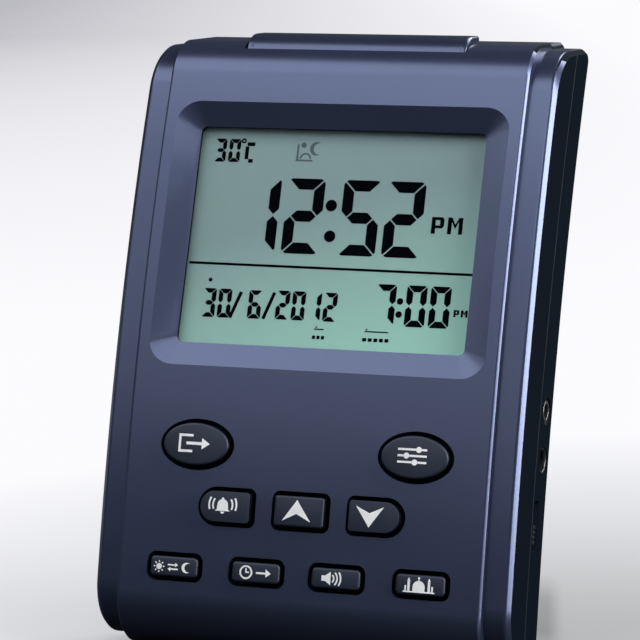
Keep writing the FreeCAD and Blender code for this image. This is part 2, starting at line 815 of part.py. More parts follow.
def slide_knob():
    inner, outer = case_width / 2 - wall - fit_gap - knob_foot, case_width / 2 - knob_sink
    low = -(knob_length + knob_travel) / 2
    knob = Part.makeBox(outer - inner, knob_length, knob_width, Vector(inner, low, -knob_width / 2))
    grooves = [Part.makeBox(0.6, 0.5, 2 * knob_width, Vector(outer - 0.3, low + knob_length * share - 0.25, -knob_width))
               for share in (0.25, 0.5, 0.75)]
    return on_jack_board(knob.cut(grooves), switch_up, switch_depth)


# ---- Back: batteries, loudspeaker ---------------------------------------------------

def cell_rows():
    return [(number - (cell_count - 1) / 2) * cell_pitch for number in range(cell_count)]


def batteries():
    cells = []
    level = -door_thickness - cell_radius - 0.2
    for number, y in enumerate(cell_rows()):
        way = 1 if number % 2 else -1
        body = side_rod(cell_radius, -cell_length / 2, cell_length / 2)
        nub = Part.makeBox(cell_nub + 0.5, cell_nub_width, cell_nub_width,
                           Vector(cell_length / 2 - 0.5, -cell_nub_width / 2, -cell_nub_width / 2))
        cell = joined(body, nub)
        if way < 0:
            cell = carried(cell, Placement(Vector(), Rotation(Vector(0, 0, 1), 180.0)))
        cell.translate(Vector(0, y, level))
        cells.append(cell)
    return on_back(Part.makeCompound(cells), bay_s)


def battery_contacts():
    """Plates at both ends of the cells, each with a pressed bump towards its cell."""
    level = -door_thickness - cell_radius - 0.2
    plates = []
    for number, y in enumerate(cell_rows()):
        way = 1 if number % 2 else -1
        for end in (-1, 1):
            x = end * (bay_width / 2 - fit_gap - contact_thickness / 2)
            plate = block(contact_thickness, contact_width, level - contact_height / 2, level + contact_height / 2, x, y)
            reach = contact_space - fit_gap - contact_thickness - fit_gap
            reach = reach - cell_nub if way == end else reach
            bump = block(reach + contact_thickness / 2, contact_bump, level - contact_bump / 2,
                         level + contact_bump / 2, x - end * (reach + contact_thickness / 2) / 2, y)
            plates.append(joined(plate, bump))
    return on_back(Part.makeCompound(plates), bay_s)


def battery_door():
    half = (door_height / 2 - door_gap) * face_radius / (face_radius - case_depth)
    plate = band(door_width - 2 * door_gap, panel_back - door_thickness + fit_gap, panel_back,
                 bay_s - half, bay_s + half)
    groove = raised(outline(door_catch_width, 3.0, 1.4, 1.4), -0.8, 3.0)
    catch_s = bay_s + half - 4.0
    ribs = [on_back(block(bay_width - 4.0, 1.0, -door_thickness - 0.05, -door_thickness + 0.4, 0.0, 0.0), bay_s)]
    plate = joined(plate, *ribs)
    return plate.cut(on_back(groove, catch_s))


def speaker():
    """Loudspeaker behind the grille: flanged basket and magnet."""
    front = -wall - fit_gap - cone_thickness
    foot = front - speaker_flange
    body = joined(rod(speaker_radius, foot, front), rod(magnet_radius, foot - magnet_depth, foot + 0.2))
    return on_back(body, speaker_s)


def speaker_cone():
    """The paper diaphragm, seated on the basket's flange."""
    return on_back(rod(cone_radius, -wall - fit_gap - cone_thickness, -wall - fit_gap), speaker_s)


# ---- Flip-out foot ------------------------------------------------------------------

def stand_angle():
    """How far the foot turns down from folded, until its pad meets the table."""
    hinge = point(stand_s, panel_back - stand_axis_depth)
    face = stand_thickness / 2 + pad_thickness
    reach = math.hypot(pad_middle, face)
    droop = math.degrees(math.asin(hinge.z / reach))
    return 90.0 - lean_at(stand_s) + droop - math.degrees(math.atan2(face, pad_middle))


def stand_open(shape):
    """Carry a shape from the folded foot's own frame to the open foot."""
    turned = carried(shape, Placement(Vector(), Rotation(across, stand_angle())))
    return stand_frame(turned)


def stand_outline():
    """The foot's plan: full width at the hinge and narrower at its tip."""
    half, tip = stand_width / 2, stand_tip_width / 2
    spots = [Vector(-half, 0, 0), Vector(half, 0, 0), Vector(half, stand_length * 0.2, 0),
             Vector(tip, stand_length, 0), Vector(-tip, stand_length, 0), Vector(-half, stand_length * 0.2, 0)]
    return Part.makePolygon(spots + spots[:1])


def stand():
    """The foot: a plate hollowed on its table side, with a round knuckle along its hinge."""
    half = stand_thickness / 2
    plate = joined(raised(stand_outline(), -half, half),
                   side_rod(stand_knuckle, -stand_width / 2, stand_width / 2))
    low, high = stand_knuckle + stand_border, pad_middle - pad_length / 2 - 2.0
    width = (stand_tip_width - 3 * stand_border) / 2
    cutters = [block(width, high - low, stand_skin - half, half + 1.0, side * (width + stand_border) / 2,
                     (low + high) / 2) for side in (-1, 1)]
    cutters.append(side_rod(stand_pin_radius + stand_pin_gap, -far / 4, far / 4))
    cutters.append(block(pad_width, pad_length, half - pad_sink, half + 5.0, 0.0, pad_middle))
    return stand_open(plate.cut(cutters))


def stand_pad():
    """The rubber pad let into the foot, trimmed level where it meets the table."""
    half = stand_thickness / 2
    pad = block(pad_width - 2 * fit_gap, pad_length - 2 * fit_gap, half - pad_sink, half + pad_thickness, 0.0,
                pad_middle)
    return stand_open(pad).cut(block(far, far, -far / 8, 0.0))


def stand_pin():
    return stand_frame(side_rod(stand_pin_radius, -stand_pin_length / 2, stand_pin_length / 2))


# ---- All pieces ---------------------------------------------------------------------

def all_pieces():
    pieces = {
        "front_housing": front_housing(),
        "rear_housing": rear_housing(),
        "display_window": display_window(),
        "lcd_glass": lcd_glass(),
        "backlight_diffuser": backlight_diffuser(),
        "elastomer_strips": elastomer_strips(),
        "lcd_holder": lcd_holder(),
        "main_board": main_board(),
        "backlight_leds": backlight_leds(),
        "keypad_board": keypad_board(),
        "ribbon_lead": ribbon(),
        "rubber_keypad": rubber_keypad(),
        "light_bar": light_bar(),
        "light_bar_board": bar_board(),
        "light_bar_switches": bar_switches(),
        "jack_board": jack_board(),
        "earphone_socket": socket_solid(earphone_up, socket_bore_radius, socket_bore_length, 0.0),
        "supply_socket": socket_solid(supply_up, supply_bore_radius, supply_bore_length, supply_pin_radius),
        "slide_switch": slide_switch(),
        "slide_knob": slide_knob(),
        "battery_door": battery_door(),
        "batteries": batteries(),
        "battery_contacts": battery_contacts(),
        "speaker": speaker(),
        "speaker_cone": speaker_cone(),
        "stand": stand(),
        "stand_pad": stand_pad(),
        "stand_pin": stand_pin(),
        "base_feet": base_feet(),
    }
    for name, s, x, form in key_table():
        pieces[name] = on_face(key_solid(form), s, x)
    return pieces


def centre_shift(pieces):
    """The move along Y that puts the origin under the middle of the clock."""
    whole = FreeCAD.BoundBox()
    for shape in pieces.values():
        whole.add(shape.optimalBoundingBox(False, False))
    return Vector(0, -(whole.YMin + whole.YMax) / 2, 0)


def main():
    os.makedirs("parts", exist_ok=True)
    pieces = all_pieces()
    shift = centre_shift(pieces)
    for name, shape in pieces.items():
        shape.translate(shift)
        shape.exportStep("parts/" + name + ".step")


main()
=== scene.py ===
import functools
import math
from types import SimpleNamespace

import bmesh
import bpy
from bpy.props import FloatProperty, FloatVectorProperty, PointerProperty
from mathutils import Matrix, Vector


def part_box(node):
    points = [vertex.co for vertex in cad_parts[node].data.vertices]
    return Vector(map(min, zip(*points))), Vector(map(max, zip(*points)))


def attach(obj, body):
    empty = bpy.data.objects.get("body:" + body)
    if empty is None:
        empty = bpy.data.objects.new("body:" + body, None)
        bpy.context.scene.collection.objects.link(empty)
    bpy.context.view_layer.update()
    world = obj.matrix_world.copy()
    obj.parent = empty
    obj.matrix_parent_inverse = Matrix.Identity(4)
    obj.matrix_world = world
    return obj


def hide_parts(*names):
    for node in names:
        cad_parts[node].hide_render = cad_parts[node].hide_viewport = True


# Desk azan clock: shells, display, keys, light bar, sockets, battery door, loudspeaker
# and flip-out foot, built round the clock's fixed frame. Lengths in the drawings are in
# millimetres, on the bowed face: X across, Y up the face and Z out of it.

bl_info = {
    "name": "Desk azan clock",
    "version": (1, 0, 0),
    "blender": (4, 5, 0),
    "location": "View3D > Sidebar > Clock",
    "description": "Builds the finished pieces of a desk azan clock round its frame",
    "category": "Object",
}

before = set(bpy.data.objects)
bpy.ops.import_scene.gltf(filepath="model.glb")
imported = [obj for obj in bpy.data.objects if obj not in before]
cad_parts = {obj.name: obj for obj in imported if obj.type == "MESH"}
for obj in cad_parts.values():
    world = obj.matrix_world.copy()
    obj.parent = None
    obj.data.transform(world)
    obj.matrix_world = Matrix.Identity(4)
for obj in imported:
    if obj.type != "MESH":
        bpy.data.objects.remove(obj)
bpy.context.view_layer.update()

MM = 0.001
FACE_RADIUS = 593.0
BASE_LEAN = math.radians(8.75)
FACE_CENTRE_Y = 549.396
FACE_CENTRE_Z = -FACE_RADIUS * math.sin(BASE_LEAN)
PANEL_BACK = 27.6
SEAM = 15.6
DISPLAY_S = 104.5
GLASS_FRONT = -5.0


# ---- Places on the bowed face ----

def lean_at(s):
    """Lean of the face from upright, in radians, at the length s up the face."""
    return BASE_LEAN + s / FACE_RADIUS


def face_place(s, x=0.0, depth=0.0):
    """The matrix from a flat drawing in millimetres to its place on the face, in metres."""
    lean = lean_at(s)
    radius = FACE_RADIUS - depth
    spot = (x, FACE_CENTRE_Y - radius * math.cos(lean), FACE_CENTRE_Z + radius * math.sin(lean))
    turn = Matrix.Rotation(math.pi / 2 - lean, 4, "X")
    return Matrix.Scale(MM, 4) @ Matrix.Translation(spot) @ turn


def back_place(s, x=0.0, depth=PANEL_BACK):
    """The same for the back, with Z out of it and X the other way."""
    return face_place(s, x, depth) @ Matrix.Rotation(math.pi, 4, "Y")


# ---- Bench: starting, choosing, cutting and fitting pieces ----

# Corners that are nearer, in metres, are merged, and faces that fold less are joined
WELD, FLAT = 2e-6, math.radians(0.4)
# How far a facet of a bowed wall leans off the bow, and its corners lie off it, in metres
BOW_LEAN, BOW_RISE = math.radians(2.6), 0.00008


def only(piece):
    """Leave one piece selected and active."""
    if bpy.context.object and bpy.context.object.mode != "OBJECT":
        bpy.ops.object.mode_set(mode="OBJECT")
    bpy.ops.object.select_all(action="DESELECT")
    piece.select_set(True)
    bpy.context.view_layer.objects.active = piece
    return piece


def started(kind, name, **settings):
    """A named primitive, drawn in millimetres."""
    bpy.ops.object.select_all(action="DESELECT")
    getattr(bpy.ops.mesh, "primitive_" + kind + "_add")(**settings)
    piece = bpy.context.object
    piece.name = piece.data.name = name
    bpy.ops.object.transform_apply(location=True, rotation=True, scale=True)
    return piece


def box(name, low, high):
    middle = [(a + b) / 2 for a, b in zip(low, high)]
    size = [b - a for a, b in zip(low, high)]
    return started("cube", name, size=1.0, location=middle, scale=size)


def shaping(piece, kind="FACE"):
    """Open a piece in edit mode with nothing chosen."""
    only(piece)
    bpy.ops.object.mode_set(mode="EDIT")
    bpy.ops.mesh.select_mode(type=kind)
    bpy.ops.mesh.select_all(action="DESELECT")


def choose(piece, kind, test):
    """Choose the parts of an open piece whose middle and direction pass a test."""
    form = bmesh.from_edit_mesh(piece.data)
    form.normal_update()
    for item in getattr(form, kind):
        if kind == "faces":
            wanted = test(item.calc_center_median(), item.normal)
        elif kind == "edges":
            first, last = (v.co for v in item.verts)
            wanted = test((first + last) / 2, (last - first).normalized(), item.calc_face_angle(0.0))
        else:
            wanted = test(item.co, item.normal)
        item.select_set(bool(wanted))
    form.select_flush_mode()
    bmesh.update_edit_mesh(piece.data)


def choose_all():
    bpy.ops.mesh.select_all(action="SELECT")


def faced_outward():
    """Turn all the faces of an open piece outward."""
    choose_all()
    bpy.ops.mesh.normals_make_consistent(inside=False)


def shaped():
    """Close a piece that was opened for shaping."""
    bpy.ops.object.mode_set(mode="OBJECT")


def bevelled(piece, width, segments, test):
    """Round the edges that pass a test."""
    shaping(piece, "EDGE")
    choose(piece, "edges", test)
    bpy.ops.mesh.bevel(offset=width, segments=segments, profile=0.5, affect="EDGES", clamp_overlap=True)
    shaped()


def raise_faces(piece, test, lift):
    """Extrude the chosen faces by a vector."""
    shaping(piece)
    choose(piece, "faces", test)
    bpy.ops.mesh.extrude_region_move(TRANSFORM_OT_translate={"value": lift})
    shaped()


def modified(piece, kind, **settings):
    """Add a modifier and apply it."""
    only(piece)
    modifier = piece.modifiers.new(kind.lower(), kind)
    for key, value in settings.items():
        setattr(modifier, key, value)
    bpy.ops.object.modifier_apply(modifier=modifier.name)
    return piece


def cut(piece, *cutters):
    """Cut pieces out of a piece and put them away."""
    for cutter in cutters:
        modified(piece, "BOOLEAN", operation="DIFFERENCE", solver="EXACT", object=cutter)
        bpy.data.objects.remove(cutter)
    return piece


def joined(piece, *others):
    """One piece from several that touch."""
    only(piece)
    for other in others:
        other.select_set(True)
    bpy.ops.object.join()
    return piece


def sliced(piece, step, reach):
    """Slice a piece square across, so that it can follow a curve."""
    shaping(piece)
    count = int(reach / step)
    for number in range(-count, count + 1):
        choose_all()
        bpy.ops.mesh.bisect(plane_co=(number * step, 0, 0), plane_no=(1, 0, 0))
    shaped()


def smoothed(piece, angle=30.0):
    only(piece)
    bpy.ops.object.shade_smooth_by_angle(angle=math.radians(angle))
    return piece


def copied(piece, name):
    """A copy of a piece with its own mesh."""
    twin = bpy.data.objects.new(name, piece.data.copy())
    twin.data.name = name
    bpy.context.collection.objects.link(twin)
    return twin


def placed(piece, matrix):
    """Carry a piece's drawing to its place, in its mesh."""
    piece.data.transform(matrix)
    return piece


def fitted(piece, body, finish, slot, *nodes):
    """Give a finished piece its material and body, and hide the frame nodes that it stands for. The slot is
    not used.
    """
    piece.data.materials.clear()
    piece.data.materials.append(finish)
    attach(piece, body)
    if nodes:
        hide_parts(*nodes)
    return piece


def part_finish(piece, finish, test):
    """Give the faces whose middle and normal pass a test a further material."""
    piece.data.materials.append(finish)
    for face in piece.data.polygons:
        if test(face.center, face.normal):
            face.material_index = len(piece.data.materials) - 1
    return piece


def refined(name, node):
    """A merged copy of a frame piece, for finer work."""
    piece = copied(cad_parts[node], name)
    shaping(piece, "VERT")
    choose_all()
    bpy.ops.mesh.remove_doubles(threshold=WELD)
    bpy.ops.mesh.dissolve_limited(angle_limit=FLAT)
    shaped()
    return piece


def bowed_way(spot):
    """The direction square to the bow at a place, away from its axis, and the distance to the axis."""
    way = Vector((0.0, spot.y - FACE_CENTRE_Y * MM, spot.z - FACE_CENTRE_Z * MM))
    return way.normalized(), way.length


def bow_shaded(piece, fold=30.0):
    """Shade a shell so that its bowed walls curve truly between their facets."""
    mesh = smoothed(piece, fold).data
    limit, near = math.cos(math.radians(fold)), math.cos(BOW_LEAN)
    bowed = {}
    for face in mesh.polygons:
        way, distance = bowed_way(face.center)
        leaning = face.normal.dot(way)
        reach = [bowed_way(mesh.vertices[n].co)[1] for n in face.vertices]
        if abs(leaning) > near and max(reach) - min(reach) < BOW_RISE:
            bowed[face.index] = math.copysign(1.0, leaning)
    round_vertex = [[] for vertex in mesh.vertices]
    for face in mesh.polygons:
        for n in face.vertices:
            round_vertex[n].append(face)
    normals = []
    for face in mesh.polygons:
        for n in face.vertices:
            fan = [other for other in round_vertex[n] if other.normal.dot(face.normal) > limit]
            curved = [other for other in fan if other.index in bowed]
            if face.index in bowed:
                curved = [face]
            if curved:
                normals.append(bowed_way(mesh.vertices[n].co)[0] * bowed[curved[0].index])
            else:
                normals.append(sum((other.normal * other.area for other in fan), Vector()).normalized())
    mesh.normals_split_custom_set(normals)
    return piece


def plates(name, outlines, thickness):
    """Thin flat plates, one over each outline, from their corners in order."""
    piece = started("circle", name, vertices=len(outlines[0]), fill_type="NGON")
    shaping(piece, "VERT")
    for number, corners in enumerate(outlines):
        if number:
            bpy.ops.mesh.select_all(action="DESELECT")
            bpy.ops.mesh.primitive_circle_add(vertices=len(corners), fill_type="NGON")
        else:
            choose_all()
        form = bmesh.from_edit_mesh(piece.data)
        fresh = [v for v in form.verts if v.select]
        for vertex, corner in zip(fresh, corners):
            vertex.co = (corner[0], corner[1], 0.0)
        bmesh.update_edit_mesh(piece.data)
    choose_all()
    bpy.ops.mesh.extrude_region_move(TRANSFORM_OT_translate={"value": (0, 0, thickness)})
    faced_outward()
    shaped()
    return piece


# ---- Outlines ----

def bar_line(x0, y0, x1, y1, width):
    """A straight stroke."""
    along = Vector((x1 - x0, y1 - y0)).normalized() * width / 2
    side = Vector((-along.y, along.x))
    return [(x0 + side.x, y0 + side.y), (x0 - side.x, y0 - side.y),
            (x1 - side.x, y1 - side.y), (x1 + side.x, y1 + side.y)]


def arc_points(x, y, radius, start, end, steps):
    return [(x + radius * math.cos(math.radians(start + (end - start) * n / steps)),
             y + radius * math.sin(math.radians(start + (end - start) * n / steps)))
            for n in range(steps + 1)]


def disc(x, y, radius, steps=20):
    return arc_points(x, y, radius, 0, 360 - 360 / steps, steps - 1)


def arc_stroke(x, y, radius, width, start, end, steps=12):
    outer = arc_points(x, y, radius + width / 2, start, end, steps)
    inner = arc_points(x, y, radius - width / 2, end, start, steps)
    return outer + inner


def crescent(x, y, radius, steps=16):
    """A young moon, open to the right."""
    outer = arc_points(x, y, radius, 55, 305, steps)
    tip = Vector(outer[0])
    shift = radius * 0.42
    inner_radius = (Vector((x + shift, y)) - tip).length
    begin = math.degrees(math.atan2(tip.y - y, tip.x - x - shift))
    return outer + arc_points(x + shift, y, inner_radius, 360 - begin, begin, steps)[1:-1]


def ring_halves(x, y, radius, width):
    return [arc_stroke(x, y, radius, width, 0, 180), arc_stroke(x, y, radius, width, 180, 360)]


# ---- Finishes ----

class Value:
    """A number on a shader socket, for use in plain sums."""

    def __init__(self, finish, socket):
        self.finish, self.socket = finish, socket

    def sum(self, operation, *terms):
        made = self.finish.node("ShaderNodeMath", {"operation": operation}, dict(enumerate(terms)))
        return Value(self.finish, made.outputs[0])

    def __add__(self, other):
        return self.sum("ADD", self, other)

    def __sub__(self, other):
        return self.sum("SUBTRACT", self, other)

    def __mul__(self, other):
        return self.sum("MULTIPLY", self, other)

    def __rsub__(self, other):
        return self.sum("SUBTRACT", other, self)

    def clamped(self):
        return self.sum("MINIMUM", self.sum("MAXIMUM", self, 0.0), 1.0)

    def above(self, level):
        return self.sum("GREATER_THAN", self, level)

    __radd__ = __add__


class Nodes:
    """An emptied node tree and the one way that nodes are added to it."""

    def __init__(self, owner):
        owner.use_nodes = True
        self.tree = owner.node_tree
        self.tree.nodes.clear()

    def feed(self, socket, value):
        """Give a socket a value or a link."""
        value = value.socket if isinstance(value, Value) else value
        if isinstance(value, bpy.types.NodeSocket):
            self.tree.links.new(value, socket)
        else:
            socket.default_value = (*value, 1.0) if socket.type == "RGBA" else value

    def node(self, kind, settings=None, inputs=None):
        """A node with its settings made first and its sockets fed."""
        made = self.tree.nodes.new(kind)
        for key, value in (settings or {}).items():
            setattr(made, key, value)
        for key, value in (inputs or {}).items():
            self.feed(made.inputs[key], value)
        return made


class Finish(Nodes):
    """One procedural material."""

    def __init__(self, name, **constants):
        self.material = bpy.data.materials.new(name)
        super().__init__(self.material)
        settings = {key.replace("_", " "): value for key, value in constants.items()}
        self.shader = self.node("ShaderNodeBsdfPrincipled", {}, settings)
        self.output = self.node("ShaderNodeOutputMaterial", {}, {"Surface": self.shader.outputs[0]})
        self.place = self.node("ShaderNodeTexCoord").outputs["Object"]

    def noise(self, scale, detail=2.0, stretch=None):
        """Soft noise over the piece, with a scale per metre."""
        place = self.place
        if stretch:
            place = self.node("ShaderNodeMapping", {}, {"Vector": place, "Scale": stretch}).outputs[0]
        made = self.node("ShaderNodeTexNoise", {}, {"Vector": place, "Scale": scale, "Detail": detail})
        return Value(self, made.outputs["Fac"])

    def cells(self, scale):
        made = self.node("ShaderNodeTexVoronoi", {}, {"Vector": self.place, "Scale": scale})
        return Value(self, made.outputs["Distance"])

    def waves(self, direction, scale, **more):
        """Bands across a direction."""
        made = self.node("ShaderNodeTexWave", {"bands_direction": direction},
                         {"Vector": self.place, "Scale": scale, **more})
        return Value(self, made.outputs["Fac"])

    def measured(self, operation, vector, start, end):
        """0 to 1 between two values of a measure of the place against a vector."""
        made = self.node("ShaderNodeVectorMath", {"operation": operation}, {0: self.place, 1: vector})
        return ((Value(self, made.outputs["Value"]) - start) * (1.0 / (end - start))).clamped()

    def along(self, direction, start, end):
        """0 to 1 between two distances, in metres, along a direction."""
        return self.measured("DOT_PRODUCT", direction, start, end)

    def away(self, centre, start, end):
        """0 to 1 between two distances, in metres, from a point."""
        return self.measured("DISTANCE", centre, start, end)

    def blend(self, share, first, second):
        """A colour between two others."""
        made = self.node("ShaderNodeMix", {"data_type": "RGBA"}, {0: share, 6: first, 7: second})
        return made.outputs[2]

    def set(self, **inputs):
        for key, value in inputs.items():
            self.feed(self.shader.inputs[key.replace("_", " ")], value)
        return self

    def coloured(self, share, first, second, roughness):
        return self.set(Base_Color=self.blend(share, first, second), Roughness=roughness)

    def bumped(self, height, strength, distance):
        bump = self.node("ShaderNodeBump", {}, {"Height": height, "Strength": strength, "Distance": distance})
        return self.set(Normal=bump.outputs[0])


def once(build):
    """Make each finish once, when it is first asked for."""
    @functools.cache
    def ask():
        return build(bpy.context.scene.azan_finishes).material
    return ask


def toned(colour, factor):
    return tuple(channel * factor for channel in colour)


def grained(name, pattern, first, second, rough, bump=None, **constants):
    """A finish whose colour, roughness and bump follow one noise.

    The pattern is the noise's scale, detail and stretch, rough is the least roughness and what the
    noise adds to it, and bump is its strength and its depth in metres.
    """
    finish = Finish(name, **constants)
    grain = finish.noise(*pattern)
    finish.coloured(grain, first, second, rough[0] + grain * rough[1])
    return finish.bumped(grain, *bump) if bump else finish


def plain_plastic(name, colour, roughness, specular=0.5):
    """Moulded plastic or rubber with a fine grain."""
    finish = Finish(name, Specular_IOR_Level=specular)
    grain, cloud = finish.noise(1100.0, 3.0), finish.noise(60.0)
    finish.coloured(cloud, toned(colour, 0.85), toned(colour, 1.15), roughness - 0.05 + grain * 0.1)
    return finish.bumped(grain, 0.2, 0.00003)


def pearl_plastic(name, colour, metallic, roughness, coat):
    """Satin moulded plastic with pearl flecks and a slow drift of tone."""
    finish = Finish(name, Metallic=metallic, Coat_Weight=coat, Coat_Roughness=0.2)
    fleck = finish.cells(2600.0)
    cloud = finish.noise(38.0, 3.0)
    grain = finish.noise(1400.0, 2.0)
    share = (cloud * 0.5 + fleck * 0.5).clamped()
    finish.coloured(share, toned(colour, 0.88), toned(colour, 1.12), roughness - 0.03 + cloud * 0.06)
    return finish.bumped(grain * 0.6 + fleck * 0.4, 0.12, 0.00003)


@once
def case_plastic(colours):
    return pearl_plastic("case_plastic", colours.case, 0.75, 0.3, 0.3)


@once
def bar_plastic(colours):
    return pearl_plastic("bar_plastic", toned(colours.case, 0.9), 0.75, 0.3, 0.3)


@once
def key_plastic(colours):
    return pearl_plastic("key_plastic", colours.key, 0.3, 0.44, 0.0)


@once
def bare_plastic(colours):
    """Dark plastic that stands in for shade: painted shade on the side walls, in the wells, on the keys'
    sides and on the front shell's inside.
    """
    return plain_plastic("bare_plastic", colours.bare, 0.68, 0.02)


@once
def seam_plastic(colours):
    """The rear shell's rounded edge along the seam, glossier and in a lighter tone than the shaded side
    walls: the lighter tone is a painted highlight for the seam's glint.
    """
    return plain_plastic("seam_plastic", toned(colours.bare, 1.5), 0.5, 0.22)


@once
def rear_plastic(colours):
    """Finely grained plastic of the back, its door and the foot."""
    return plain_plastic("rear_plastic", colours.rear, 0.5, 0.25)


@once
def socket_plastic(colours):
    return plain_plastic("socket_plastic", colours.socket, 0.4)


@once
def holder_plastic(colours):
    return plain_plastic("holder_plastic", (0.62, 0.62, 0.60), 0.5)


@once
def foot_rubber(colours):
    return plain_plastic("foot_rubber", (0.016, 0.016, 0.018), 0.75)


@once
def keypad_rubber(colours):
    return plain_plastic("keypad_rubber", (0.075, 0.078, 0.085), 0.7)


@once
def lens_clear(colours):
    finish = Finish("window", Base_Color=(0.02, 0.03, 0.035), Roughness=0.05, IOR=1.49,
                    Specular_IOR_Level=0.22)
    smear = finish.noise(55.0, 3.0)
    return finish.set(Alpha=0.005 + smear * 0.006)


@once
def display_glass(colours):
    """Reflective display glass, darker and greyer towards its top and greener low down, with a painted shade
    towards its left side that evens out the side lamp's light there.
    """
    lean = lean_at(DISPLAY_S)
    low, high = (Vector(corner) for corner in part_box("lcd_glass"))
    up = Vector((0, math.sin(lean), math.cos(lean)))
    finish = Finish("lcd", Specular_IOR_Level=0.25)
    rise = finish.along(up, low.dot(up) + 0.003, high.dot(up) - 0.004)
    side = finish.along((1, 0, 0), low.x, high.x)
    grain = finish.noise(900.0, 2.0)
    # The share also rises to the left: painted shade that offsets the side lamp's light on the left of the
    # glass
    share = (rise * 1.15 + (1 - side) * 0.5 + (grain - 0.5) * 0.08).clamped()
    finish.coloured(share, colours.glass_low, colours.glass_high, 0.46 + grain * 0.06)
    return finish.bumped(grain, 0.05, 0.00002)


@once
def display_ink(colours):
    return grained("lcd_ink", (800.0,), toned(colours.ink, 0.8), toned(colours.ink, 1.3), (0.65, 0.1),
                   Specular_IOR_Level=0.0)


@once
def display_grey(colours):
    """The display's marks that are hardly lit."""
    return grained("lcd_ink_faint", (800.0,), (0.060, 0.088, 0.092), (0.082, 0.115, 0.120), (0.5, 0.1),
                   Specular_IOR_Level=0.2)


@once
def key_print(colours):
    """Screen printing, a little worn where fingers press."""
    finish = Finish("key_print")
    wear, grain = finish.noise(420.0, 4.0), finish.noise(1500.0)
    worn = (wear * 1.6 - 0.75).clamped()
    finish.coloured(worn, colours.sign, toned(colours.sign, 0.78), 0.42 + grain * 0.12)
    return finish.bumped(grain, 0.1, 0.00002)


@once
def socket_metal(colours):
    """Plated socket rims, dulled by handling."""
    return grained("socket_metal", (500.0, 2.0, (1.0, 9.0, 9.0)), (0.16, 0.16, 0.17), (0.30, 0.30, 0.31),
                   (0.26, 0.14), (0.1, 0.00001), Metallic=1.0)


@once
def screw_steel(colours):
    return grained("screw_steel", (1800.0, 3.0), (0.10, 0.10, 0.11), (0.20, 0.20, 0.21),
                   (0.34, 0.16), (0.15, 0.00001), Metallic=1.0)


@once
def contact_steel(colours):
    return grained("contact_steel", (1200.0, 3.0, (1.0, 1.0, 4.0)), (0.52, 0.51, 0.48), (0.70, 0.69, 0.66),
                   (0.25, 0.15), (0.1, 0.00001), Metallic=1.0)


@once
def speaker_steel(colours):
    return grained("speaker_frame", (700.0, 3.0), (0.30, 0.30, 0.31), (0.42, 0.42, 0.42),
                   (0.35, 0.2), (0.15, 0.00002), Metallic=0.9)


@once
def speaker_paper(colours):
    """Dark pressed paper with fibres."""
    return grained("speaker_paper", (900.0, 5.0, (1.0, 3.0, 1.0)), (0.010, 0.010, 0.011),
                   (0.030, 0.029, 0.028), (0.8, 0.15), (0.5, 0.0001))


@once
def lamp_clear(colours):
    return grained("lamp", (600.0,), (0.75, 0.72, 0.45), (0.85, 0.83, 0.60), (0.2, 0.1),
                   Specular_IOR_Level=0.6)


@once
def circuit_board(colours):
    """Green solder mask over copper tracks that run both ways."""
    finish = Finish("circuit_board")
    across, down = (finish.waves(way, 160.0, Distortion=5.0, Detail=1.0) for way in ("X", "Z"))
    patch = finish.noise(45.0).above(0.5)
    tracks = (across * patch + down * (1 - patch)).above(0.62)
    finish.coloured(tracks, (0.006, 0.06, 0.02), (0.02, 0.13, 0.05), 0.3 + tracks * 0.1)
    return finish.bumped(tracks, 0.4, 0.00004)


@once
def diffuser_acrylic(colours):
    finish = Finish("diffuser")
    dots = finish.cells(420.0)
    finish.coloured(dots, (0.70, 0.74, 0.72), (0.85, 0.88, 0.86), 0.3 + dots * 0.2)
    return finish.bumped(dots, 0.2, 0.00005)


@once
def ribbon_film(colours):
    """Flat lead: pale film over parallel tinned strands."""
    finish = Finish("ribbon")
    strand = finish.waves("X", 250.0)
    finish.coloured(strand, (0.55, 0.55, 0.52), (0.30, 0.31, 0.33), 0.35 + strand * 0.1)
    return finish.bumped(strand, 0.4, 0.0001)


@once
def cell_jacket(colours):
    """Printed cell jacket: dark body with a copper-coloured band, no words."""
    low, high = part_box("batteries")
    finish = Finish("cell_jacket", Metallic=0.75)
    band = finish.along((1, 0, 0), low.x, high.x)
    copper = band.above(0.27) * (1 - band.above(0.42))
    grain = finish.noise(900.0)
    finish.coloured(copper, (0.035, 0.038, 0.045), (0.50, 0.22, 0.08), 0.3 + grain * 0.1)
    return finish.bumped(grain, 0.05, 0.00002)


# ---- What a user may change ----

def length(name, what, millimetres):
    return FloatProperty(name=name, description=what, default=millimetres * MM, min=0.0, precision=5,
                         unit="LENGTH")


def colour(name, what, value):
    return FloatVectorProperty(name=name, description=what, default=value, subtype="COLOR", size=3,
                               min=0.0, max=1.0)


def power(name, what, watts):
    return FloatProperty(name=name, description=what, default=watts, min=0.0, unit="POWER")


class AzanSizes(bpy.types.PropertyGroup):
    """Sizes of the finished pieces."""

    key_crown: length("Key crown radius", "Radius of the crown across each key", 60.0)
    key_edge: length("Key edge", "Rounding round the top of each key", 0.55)
    key_gap: length("Key gap", "Gap between a key and its well", 1.1)
    key_proud: length("Key proud", "How far a key stands out of the face", 1.8)
    low_key_proud: length("Lower key proud", "How far the lowest keys stand out of the face", 1.05)
    shell_edge: length("Shell edge", "Rounding along the side walls", 0.45)
    rail_edge: length("Rail edge", "Rounding along the rails' long bevels", 0.85)
    panel_edge: length("Panel edge", "Rounding of the panel's long bevels", 0.28)
    well_edge: length("Well edge", "Rounding round the key wells and the bezel", 0.22)
    print_height: length("Print height", "Height of the printing on the keys", 0.03)
    bar_round: length("Light bar round", "Rounding along the light bar's front", 6.4)
    digit_height: length("Digit height", "Height of the clock's main digits", 18.7)
    digit_width: length("Digit width", "Width of the clock's main digits", 9.65)
    digit_stroke: length("Digit stroke", "Stroke of the clock's main digits", 2.75)


